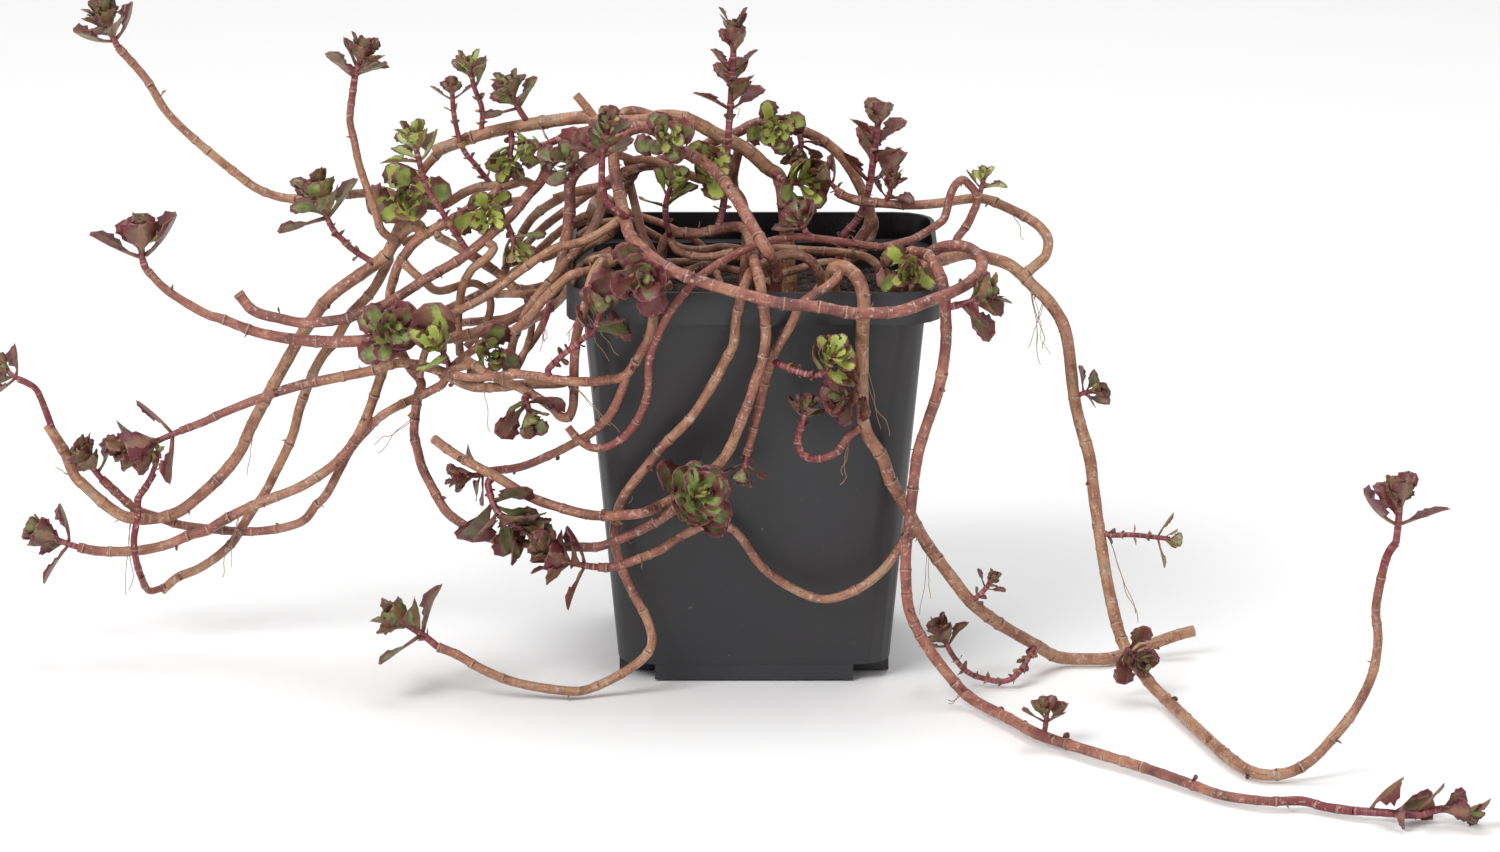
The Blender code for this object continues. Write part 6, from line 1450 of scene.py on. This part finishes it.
def leaf_paint():
    made, tree, shader = blank_paint("leaf")
    edge = read(tree, "edge")
    mottle = noise(tree, 420.0, 3.0)
    toward_edge = times(tree, maths(tree, "POWER", edge, 3.0), 0.42)
    spread = plus(tree, toward_edge, read(tree, "red"), stretch(tree, mottle, 0.3, 0.7, -0.13, 0.13))
    colour = ramp(tree, spread, [(0.1, LEAF_LIME), (0.32, LEAF_GREEN), (0.52, LEAF_DEEP), (0.68, LEAF_OLIVE),
                                 (0.84, LEAF_WINE)])
    flush = stretch(tree, plus(tree, edge, stretch(tree, mottle, 0.3, 0.7, -0.08, 0.08)), 0.87, 1.02)
    colour = blend_colours(tree, times(tree, flush, 0.8), colour, LEAF_CRIMSON)
    under = blend_colours(tree, stretch(tree, edge, 0.1, 0.6), UNDER_RIB, UNDER_MAUVE)
    colour = blend_colours(tree, times(tree, read(tree, "under"), 0.85), colour, under)
    colour = blend_colours(tree, stretch(tree, edge, 0.93, 1.0, 0.0, 0.6), colour, LEAF_FRINGE)
    colour = blend_colours(tree, read(tree, "dry"), colour, LEAF_DRY)
    painted(tree, shader, colour, stretch(tree, mottle, 0.3, 0.7, 0.32, 0.48))
    shader.inputs["Subsurface Weight"].default_value = 0.08
    shader.inputs["Subsurface Radius"].default_value = (0.002, 0.0012, 0.0006)
    shader.inputs["Subsurface Scale"].default_value = 1.0
    raised(tree, shader, noise(tree, 1500.0, 2.0), 0.00008)
    return made


def stalk_paint():
    made, tree, shader = blank_paint("stalk")
    mottle = noise(tree, 300.0, 3.0)
    colour = ramp(tree, mottle, [(0.3, srgb(100, 36, 46)), (0.7, srgb(146, 66, 76))])
    gap = maths(tree, "ABSOLUTE", read(tree, "away"))
    line = times(tree, stretch(tree, gap, 0.0001, 0.0003, 0.6, 0.0), read(tree, "mark"))
    colour = blend_colours(tree, line, colour, BARK_RING)
    painted(tree, shader, colour, 0.42)
    return made


leaf_skin = leaf_paint()
stalk_skin = stalk_paint()
print("painted", leaf_skin.name, "and", stalk_skin.name)

# %% [markdown]
# ## One leaf
#
# The leaf is a fan: a narrow wedge of a base that opens to a round blade with blunt teeth round its outer
# half. Its rows are arcs about the base, so the tip is round, and the teeth are rows and columns that stand
# out and in by turns. Hundreds are shown, so one has only a few dozen faces: a full net above and two
# strips below. Six forms with their own width, cup, curl and twist keep the shoots from looking stamped.

# %% Model the leaf forms
LEAF_ROWS = [(0.0, 0.05), (0.2, 0.07), (0.38, 0.16), (0.54, 0.335), (0.63, 0.33), (0.72, 0.45), (0.8, 0.4),
             (0.9, 0.415), (0.985, 0.27)]
LEAF_ACROSS = (-1.0, -0.64, -0.3, 0.0, 0.3, 0.64, 1.0)
TIP_TEETH = (-0.03, 0.035, -0.025, 0.03, -0.025, 0.035, -0.03)
PLEATS = (0.0, -0.012, 0.012, -0.022, 0.012, -0.012, 0.0)
LEAF_THICK = 0.06
Form = namedtuple("Form", "wide cup curl twist wave")
FORMS = [
    Form(0.92, 0.5, 0.1, 0.0, 0.015), Form(1.04, 0.75, 0.22, 8.0, 0.025), Form(0.84, 0.4, -0.04, -10.0, 0.02),
    Form(0.98, 0.6, -0.12, 5.0, 0.03), Form(1.06, 0.85, 0.3, -6.0, 0.015), Form(0.9, 0.45, 0.06, 14.0, 0.035),
]


def leaf_point(form, index, row, column, drop):
    """A point of the leaf's skin. The leaf is one unit long along +X, and drop lowers the under side."""
    far, half = LEAF_ROWS[row]
    share = LEAF_ACROSS[column]
    if row == len(LEAF_ROWS) - 1:
        far += TIP_TEETH[column]
    angle = share * math.asin(min(0.9, half * form.wide / max(far, 0.06)))
    x, y = far * math.cos(angle), far * math.sin(angle)
    if row == 0:
        y = share * half
    z = form.cup * y * y + form.curl * far * far + form.wave * math.sin(9 * far + 2 * index) * share
    z += PLEATS[column] * min(1.0, 1.6 * far) if not drop else 0.0
    z -= drop * LEAF_THICK * (1.2 - 0.7 * far)
    turn = math.radians(form.twist) * far
    return (x - 0.4 * form.curl * far * far, y * math.cos(turn) - z * math.sin(turn),
            y * math.sin(turn) + z * math.cos(turn))


def leaf_form(index, form):
    """A closed leaf with its upper side toward +Z, which knows its edge and its under side."""
    made = bmesh.new()
    edge_layer = made.verts.layers.float.new("edge")
    under_layer = made.faces.layers.float.new("under")
    last = len(LEAF_ROWS) - 1
    upper, rib = [], []
    for row, (far, _) in enumerate(LEAF_ROWS):
        line = []
        for column, share in enumerate(LEAF_ACROSS):
            vertex = made.verts.new(leaf_point(form, index, row, column, 0.0))
            at_tip = 1.0 if row == last else 0.62 * (far - 0.7) / 0.2 if far > 0.7 else 0.0
            vertex[edge_layer] = max(abs(share), min(1.0, at_tip)) * min(1.0, 0.25 + 1.2 * far)
            line.append(vertex)
        upper.append(line)
        below = made.verts.new(leaf_point(form, index, row, 3, 1.0))
        below[edge_layer] = 0.0
        rib.append(below)
    for row in range(last):
        here, there = upper[row], upper[row + 1]
        for column in range(len(LEAF_ACROSS) - 1):
            made.faces.new((here[column], there[column], there[column + 1], here[column + 1]))
        left = (here[0], there[0], rib[row + 1], rib[row])
        right = (rib[row], rib[row + 1], there[-1], here[-1])
        for strip in (left, right):
            made.faces.new(strip)[under_layer] = 1.0
    for column in range(len(LEAF_ACROSS) - 1):
        made.faces.new((upper[last][column], upper[last][column + 1], rib[last]))[under_layer] = 1.0
    made.faces.new([rib[0]] + upper[0])
    bmesh.ops.recalc_face_normals(made, faces=made.faces[:])
    mesh = bpy.data.meshes.new(f"leaf_form_{index}")
    made.to_mesh(mesh)
    made.free()
    mesh.shade_smooth()
    return mesh


leaf_shelf = bpy.data.collections.new("leaf forms")
for index, form in enumerate(FORMS):
    mesh = leaf_form(index, form)
    leaf_shelf.objects.link(bpy.data.objects.new(mesh.name, mesh))
print("a leaf has", len(mesh.polygons), "faces")

# %% [markdown]
# ## Leaves on a shoot
#
# The tree takes bare points that each say which way the leaf grows, how wide side lies, how long it is and
# which form it takes, and puts a leaf form on every point. The points come from the layout above, and a few
# small leaves are added round each tip, where the youngest pairs close into a bud.

# %% The leaf tree
def leaf_tree():
    tree, given = new_tree("leaves", [
        ("Forms", "Collection", None),
        ("Finish", "Material", None),
    ])
    feed = {"Collection": given["Forms"], "Separate Children": True, "Reset Children": True}
    forms = out_of(tree, "GeometryNodeCollectionInfo", feed)
    feed = {0: named(tree, "along", "FLOAT_VECTOR"), 1: named(tree, "wide", "FLOAT_VECTOR")}
    aim = out_of(tree, "FunctionNodeAxesToRotation", feed, primary_axis="X", secondary_axis="Y")
    size = named(tree, "size")
    scale = vector_of(tree, size, size, size)
    feed = {"Points": given["Geometry"], "Instance": forms, "Pick Instance": True,
            "Instance Index": named(tree, "form"), "Rotation": aim, "Scale": scale}
    return end_tree(tree, out_of(tree, "GeometryNodeInstanceOnPoints", feed), given["Finish"])


leaf_rule = leaf_tree()
print("the leaf tree has", len(leaf_rule.nodes), "nodes")

# %% [markdown]
# ## Which leaves a shoot has
#
# The layout gives each shoot its crossed pairs. Between them stand smaller leaves turned by a right angle,
# the tip closes in a few light young leaves, and small scales, some of them dry, are left along a long
# stalk. Each shoot has a hue: its outer leaves are redder than its heart, and a little chance is added.

# %% Gather the leaves of each shoot
HUE_RED = {"lime": -0.06, "green": 0.13, "mixed": 0.36, "burgundy": 0.54, "crimson": 0.64}
REDDER = {
    "tip_high_left": 0.16, "tip_up_left": 0.12, "tip_low_back": 0.12, "tip_cross": 0.3, "bud_slant": -0.25,
    "bud_crown_a": 0.15, "tip_crown": 0.12, "tip_loop": 0.16, "bough_inner": 0.12, "tall_middle": 0.3,
    "tall_right": 0.34, "bough_left": 0.06, "rosette_corner": 0.3, "rosette_tangle": 0.06, "tip_far": 0.3,
    "tip_front_left": 0.06, "bough_front": -0.1, "tip_pot": -0.08, "tip_front_low": 0.08,
    "bough_middle": 0.08,
}
FULLER = {
    "rosette_left": 1.3, "tip_high_left": 1.3, "tip_cross": 1.35, "bough_middle": 1.35, "tip_front_low": 1.3,
    "bud_crown_a": 1.35, "bud_crown_b": 1.3, "bud_left_rim": 1.4, "rosette_side": 1.2, "tip_far": 1.25,
    "tip_floor": 1.25, "bud_far_top": 1.35, "bud_right_back": 1.25, "tip_low_back": 1.2, "tall_middle": 1.1,
    "tall_right": 1.22, "bough_inner": 0.95, "rosette_corner": 1.3, "bough_corner": 1.25, "leaf_cross": 1.25,
    "rosette_inner": 1.2, "bud_sprout": 0.9, "rosette_stem": 1.05,
}
PLAIN_FULLER = 1.14
chance = np.random.default_rng(41)
TIGHT_SPACING = 2.15
BETWEEN_SKIPPED = 0.3
BETWEEN_SIZE = 0.86
BETWEEN_LIFT = 0.45
BETWEEN_TWIST = 14
BETWEEN_TRIES = [(0, 0, 1.0), (-12, 8, 0.95), (-18, -14, 0.85), (8, 14, 0.8)]
BUD_LEAVES = 4
BUD_SIZE = 0.56
BUD_OPENING = (54, 44, 24, 14)
BUD_FIRST_TURN = 47
BUD_NEXT_TURN = 137.5
SPARSE = ("tall_right", "tip_floor", "rosette_corner", "bough_corner", "leaf_cross")
SCALE_EVERY = 3.2
SCALE_SIZE = (2.0, 3.4)
SCALE_TURN = (-25, 25)
SCALE_OPENING = (40, 85)
SCALE_RED = 0.6
DRY_SHARE = 0.3
SUNK = 0.3
OUTER_REDDER = 0.14
HEART_GREENER = 0.26
TIP_GREENER = 0.24
RED_CHANCE = 0.14


def leaf_record(leaf, red, dry=0.0, sunk=0.0):
    """What a leaf form needs to know. A scale is sunk so that its broad part starts at the bark."""
    base = leaf["base"] - sunk * leaf["length"] * leaf["along"]
    return {"place": base * MM, "along": leaf["along"], "wide": leaf["wide"],
            "size": leaf["length"] * MM, "red": red, "form": int(chance.integers(len(FORMS))), "dry": dry}


def between_leaves(spray, points, frames, seats):
    """Smaller leaves that stand crosswise between the pairs."""
    found = []
    if spray.name in SPARSE:
        return found
    tight = spray.spacing < TIGHT_SPACING
    for pair, ring in enumerate(seats):
        share = pair / max(1, len(seats) - 1)
        for side in (0, 2):
            if not tight and chance.random() < BETWEEN_SKIPPED:
                continue
            for tilt_change, turn_change, scale in BETWEEN_TRIES:
                turn = 90 * ((pair + 1) % 2 + side) + BETWEEN_TWIST * (pair + 1) + turn_change
                opening = max(LEAST_OPENING + 2, (spray.opening - 4) * (1 - 0.4 * share) + tilt_change)
                length = spray.leaf * BETWEEN_SIZE * (1 - 0.3 * share) * scale
                lifted = points[ring] + BETWEEN_LIFT * spray.spacing * frames[ring][0]
                leaf = leaf_at(lifted, frames[ring], turn, opening, length)
                if leaf_is_clear(leaf, spray, plant, []):
                    found.append(leaf)
                    break
    return found


def stalk_scales(spray, points, frames, seats):
    """Small leaves, some of them dry, left along the bare part of a long stalk."""
    run = lengths_along(points)
    found = []
    for number, at in enumerate(np.arange(2.5, run[seats[0]] - 1.5, SCALE_EVERY)):
        ring = int(np.searchsorted(run, at))
        base = read_at(at, run, points)
        size = chance.uniform(*SCALE_SIZE)
        for turn in (90 * number, 90 * number + 180):
            turn += chance.uniform(*SCALE_TURN)
            opening = chance.uniform(*SCALE_OPENING)
            found.append(leaf_at(base, frames[ring], turn, opening, size))
    return found


def room_above_floor(record):
    """How long a leaf may be before its tip goes through the floor."""
    drop = -record["along"][2]
    return max(0.3 * record["size"], (record["place"][2] - 0.4 * MM) / drop) if drop > 0.01 else 1.0


def shoot_leaves(spray):
    points, seats = leafy_points(spray, plant[spray.name])
    frames = shoot_frames(points, math.radians(spray.turn))
    red = HUE_RED[spray.hue] + REDDER.get(spray.name, 0.0)
    fuller = FULLER.get(spray.name, PLAIN_FULLER)
    records = []
    for ring, leaf in plant[spray.name]["leaves"]:
        share = ring / max(1, len(points) - 1)
        own_red = red + OUTER_REDDER - HEART_GREENER * share + chance.uniform(-RED_CHANCE, RED_CHANCE)
        records.append(leaf_record(leaf, own_red))
    for leaf in between_leaves(spray, points, frames, seats):
        records.append(leaf_record(leaf, red + chance.uniform(-RED_CHANCE, RED_CHANCE)))
    for number in range(BUD_LEAVES):
        base = points[-1] - (1.2 - 0.25 * number) * frames[-1][0]
        length = spray.leaf * BUD_SIZE * (1 - 0.1 * number)
        turn = BUD_FIRST_TURN + BUD_NEXT_TURN * number + spray.turn
        leaf = leaf_at(base, frames[-1], turn, BUD_OPENING[number], length)
        records.append(leaf_record(leaf, red - TIP_GREENER + chance.uniform(-0.1, 0.1)))
    for record in records:
        record["size"] = min(record["size"] * fuller, room_above_floor(record))
    for leaf in stalk_scales(spray, points, frames, seats):
        records.append(leaf_record(leaf, SCALE_RED, float(chance.random() < DRY_SHARE), SUNK))
    return records


leaf_groups = {}
for spray in SPRAYS:
    leaf_groups.setdefault(spray.node or spray.name, []).append(spray)
print(len(leaf_groups), "pieces carry leaves")

# %% Dress every shoot
STALK_PACE = 2.2


def leaves_piece(name, records):
    facts = {key: np.array([record[key] for record in records]) for key in
             ("along", "wide", "size", "red", "form", "dry")}
    made = points_object(name, [record["place"] for record in records], **facts)
    return grown_mesh(made, leaf_rule, Forms=leaf_shelf, Finish=leaf_skin)


total = 0
for number, (node, sprays) in enumerate(leaf_groups.items()):
    records = [record for spray in sprays for record in shoot_leaves(spray)]
    hue = sprays[0].hue
    replaced = [node] if sprays[0].node is None else []
    leaves = settled(leaves_piece(node + "_leaves", records), hue, *replaced)
    places, edges, facts = stem_points([spray.name for spray in sprays], STALK_PACE, 1.0)
    stalks = points_object(node + "_stalks", places, edges, **facts)
    grown_mesh(stalks, stem_rule, Seed=90 + number, Finish=stalk_skin, Sides=7)
    settled(stalks, hue)
    total += len(leaves.data.polygons)
print("leaves:", total, "faces")

# %% [markdown]
# ## Sleeping buds
#
# The old stems carry tiny dark buds and dry scales here and there. They are the leaf forms again, very
# small, pointing away from the stem.

# %% Scatter the sleeping buds
BUD_EVERY = (9.0, 26.0)
BUD_SCALE = (1.6, 2.8)
BUD_RED = 0.7
BUD_DRY = 0.7


def sleeping_buds(name):
    points, radii = plant[name]["points"], plant[name]["radii"]
    run = lengths_along(points)
    frames = shoot_frames(points, 0.0)
    at, found = chance.uniform(*BUD_EVERY), []
    while at < run[-1] - 4:
        ring = min(int(np.searchsorted(run, at)), len(points) - 1)
        turn = math.radians(chance.uniform(0, 360))
        sideways = math.cos(turn) * frames[ring][1] + math.sin(turn) * frames[ring][2]
        base = read_at(at, run, points) + 0.7 * radii[ring] * sideways
        leaf = {"base": base, "along": unit(0.5 * frames[ring][0] + sideways),
                "wide": np.cross(frames[ring][0], sideways), "length": chance.uniform(*BUD_SCALE)}
        found.append(leaf_record(leaf, BUD_RED, BUD_DRY * float(chance.random() < DRY_SHARE), SUNK))
        at += chance.uniform(*BUD_EVERY)
    return found


bud_records = [bud for route in STEMS for bud in sleeping_buds(route.name)]
settled(leaves_piece("sleeping_buds", bud_records), "bark")
print("sleeping buds:", len(bud_records))

# %% [markdown]
# ## The pot
#
# A thin moulded cup in charcoal polypropylene. Its CAD shape is right but its edges are knife sharp, and
# light never meets a sharp edge like that, so the piece is a copy with its doubles merged and a small
# bevel. The finish is satin with a fine moulding grain, a film of dust and pale specks of dried compost.
# The inside is the same plastic, painted nearly black as painted shade, with a little dust over it.

# %% Pot
POT_GREY = srgb(44, 43, 46)
POT_DUST = srgb(84, 80, 80)
POT_SPECK = srgb(140, 122, 104)
# Painted shade for the inside of the pot, which is the same plastic as the outside.
POT_INSIDE_SHADE = srgb(12, 12, 14)
POT_BLACK_GLANCE = 0.22
POT_EDGE = 0.00035


def pot_inside_shade_paint():
    made, tree, shader = blank_paint("pot_inner")
    film = noise(tree, 60.0, 4.0)
    # Painted shade: the inside is painted near black, with a little real dust over it.
    colour = blend_colours(tree, stretch(tree, film, 0.5, 0.75, 0.0, 0.2), POT_INSIDE_SHADE, POT_DUST)
    painted(tree, shader, colour, stretch(tree, film, 0.35, 0.7, 0.16, 0.34))
    shader.inputs["Specular IOR Level"].default_value = POT_BLACK_GLANCE
    return made


def pot_paint():
    made, tree, shader = blank_paint("pot_plastic")
    grain = noise(tree, 1700.0, 2.0)
    film = noise(tree, 26.0, 5.0)
    dust = noise(tree, 420.0, 4.0, roughness=0.7)
    colour = blend_colours(tree, stretch(tree, film, 0.42, 0.75, 0.0, 0.16), POT_GREY, POT_DUST)
    colour = blend_colours(tree, stretch(tree, dust, 0.7, 0.76, 0.0, 0.55), colour, POT_SPECK)
    painted(tree, shader, colour, stretch(tree, film, 0.35, 0.7, 0.4, 0.56))
    raised(tree, shader, grain, 0.00003)
    return made


def copy_of_node(node, name):
    """A merged copy of a CAD node's mesh, ready for modifiers."""
    mesh = frame["nodes"][node].data.copy()
    work = bmesh.new()
    work.from_mesh(mesh)
    bmesh.ops.remove_doubles(work, verts=work.verts[:], dist=0.00002)
    bmesh.ops.dissolve_limit(work, angle_limit=math.radians(1), verts=work.verts[:], edges=work.edges[:])
    work.to_mesh(mesh)
    work.free()
    mesh.materials.clear()
    return in_scene(name, mesh)


pot_skin = copy_of_node("pot", "pot_skin")
pot_skin.data.materials.append(pot_paint())
pot_skin.data.materials.append(pot_inside_shade_paint())
# Inward faces and the inside floor get the painted shade of the inside.
for face in pot_skin.data.polygons:
    inward = -(face.normal.x * face.center.x + face.normal.y * face.center.y)
    if inward > 0.005 or face.normal.z > 0.9 and face.center.z < 0.5 * POT_HEIGHT * MM:
        face.material_index = 1
bevel = pot_skin.modifiers.new("edges", "BEVEL")
bevel.width = POT_EDGE
bevel.segments = 2
bevel.limit_method = "ANGLE"
bevel.angle_limit = math.radians(30)
bevel.harden_normals = True
settled(pot_skin, "pot", "pot")
print("pot:", len(pot_skin.data.polygons), "faces before its bevel")

# %% [markdown]
# ## The soil
#
# Old peat: nearly black, shrunk a little from the walls, and broken into crumbs. A heap of crumbs is
# scattered over the top with Geometry Nodes, on an uneven bed, so that the surface is really rough and not
# only bumped.

# %% Soil
PEAT_DARK = srgb(34, 27, 24)
PEAT_BROWN = srgb(70, 52, 42)
CRUMB_DENSITY = 480000.0
CRUMB_SIZE = 0.0021
CRUMB_GRADES = (0.35, 1.25)
CRUMB_RAGGED = 0.14
BED_INSET = 0.0015
BED_ROUGH = 0.006


def peat_paint():
    made, tree, shader = blank_paint("peat")
    clod = noise(tree, 500.0, 4.0)
    painted(tree, shader, ramp(tree, clod, [(0.35, PEAT_DARK), (0.75, PEAT_BROWN)]), 0.95)
    raised(tree, shader, noise(tree, 1400.0, 4.0), 0.0003)
    return made


def crumb_tree():
    tree, given = new_tree("crumbs", [
        ("Density", "Float", CRUMB_DENSITY),
        ("Size", "Float", CRUMB_SIZE),
        ("Half", "Float", 0.037),
        ("Level", "Float", SOIL_TOP * MM),
        ("Seed", "Int", 5),
        ("Finish", "Material", None),
    ])
    width = times(tree, given["Half"], 2.0)
    feed = {"Size X": width, "Size Y": width, "Vertices X": 40, "Vertices Y": 40}
    bed = out_of(tree, "GeometryNodeMeshGrid", feed)
    uneven = add(tree, "ShaderNodeTexNoise", {"Scale": 70.0, "Detail": 3.0}).outputs["Fac"]
    rise = plus(tree, times(tree, maths(tree, "SUBTRACT", uneven, 0.5), BED_ROUGH), given["Level"])
    feed = {"Geometry": bed, "Offset": vector_of(tree, z=rise)}
    bed = out_of(tree, "GeometryNodeSetPosition", feed)
    feed = {"Mesh": bed, "Density": given["Density"], "Seed": given["Seed"]}
    spots = out_of(tree, "GeometryNodeDistributePointsOnFaces", feed)
    lump = out_of(tree, "GeometryNodeMeshIcoSphere", {"Radius": 0.5, "Subdivisions": 1})
    feed = {"Geometry": lump, "Offset": drawn_vector(tree, -CRUMB_RAGGED, CRUMB_RAGGED)}
    lump = out_of(tree, "GeometryNodeSetPosition", feed)
    size = times(tree, drawn(tree, *CRUMB_GRADES, Seed=3), given["Size"])
    feed = {"Points": spots, "Instance": lump, "Rotation": drawn_vector(tree, 0.0, 6.28),
            "Scale": vector_of(tree, size, size, size)}
    crumbs = out_of(tree, "GeometryNodeInstanceOnPoints", feed)
    both = add(tree, "GeometryNodeJoinGeometry")
    tree.links.new(crumbs, both.inputs[0])
    tree.links.new(bed, both.inputs[0])
    return end_tree(tree, both.outputs[0], given["Finish"])


peat = peat_paint()
soil_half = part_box("soil")[1][0] - BED_INSET
crumbs = points_object("soil_crumbs", [(0.0, 0.0, 0.0)])
grown_mesh(crumbs, crumb_tree(), Half=soil_half, Finish=peat)
settled(crumbs, "soil")
frame["nodes"]["soil"].data.materials.clear()
frame["nodes"]["soil"].data.materials.append(peat)
print("crumbs:", len(crumbs.data.polygons), "faces")

# %% [markdown]
# ## Close the lesson
#
# The leaf forms have served, so they go.

# %% Finish
for shape in list(leaf_shelf.objects):
    bpy.data.objects.remove(shape)
bpy.data.collections.remove(leaf_shelf)
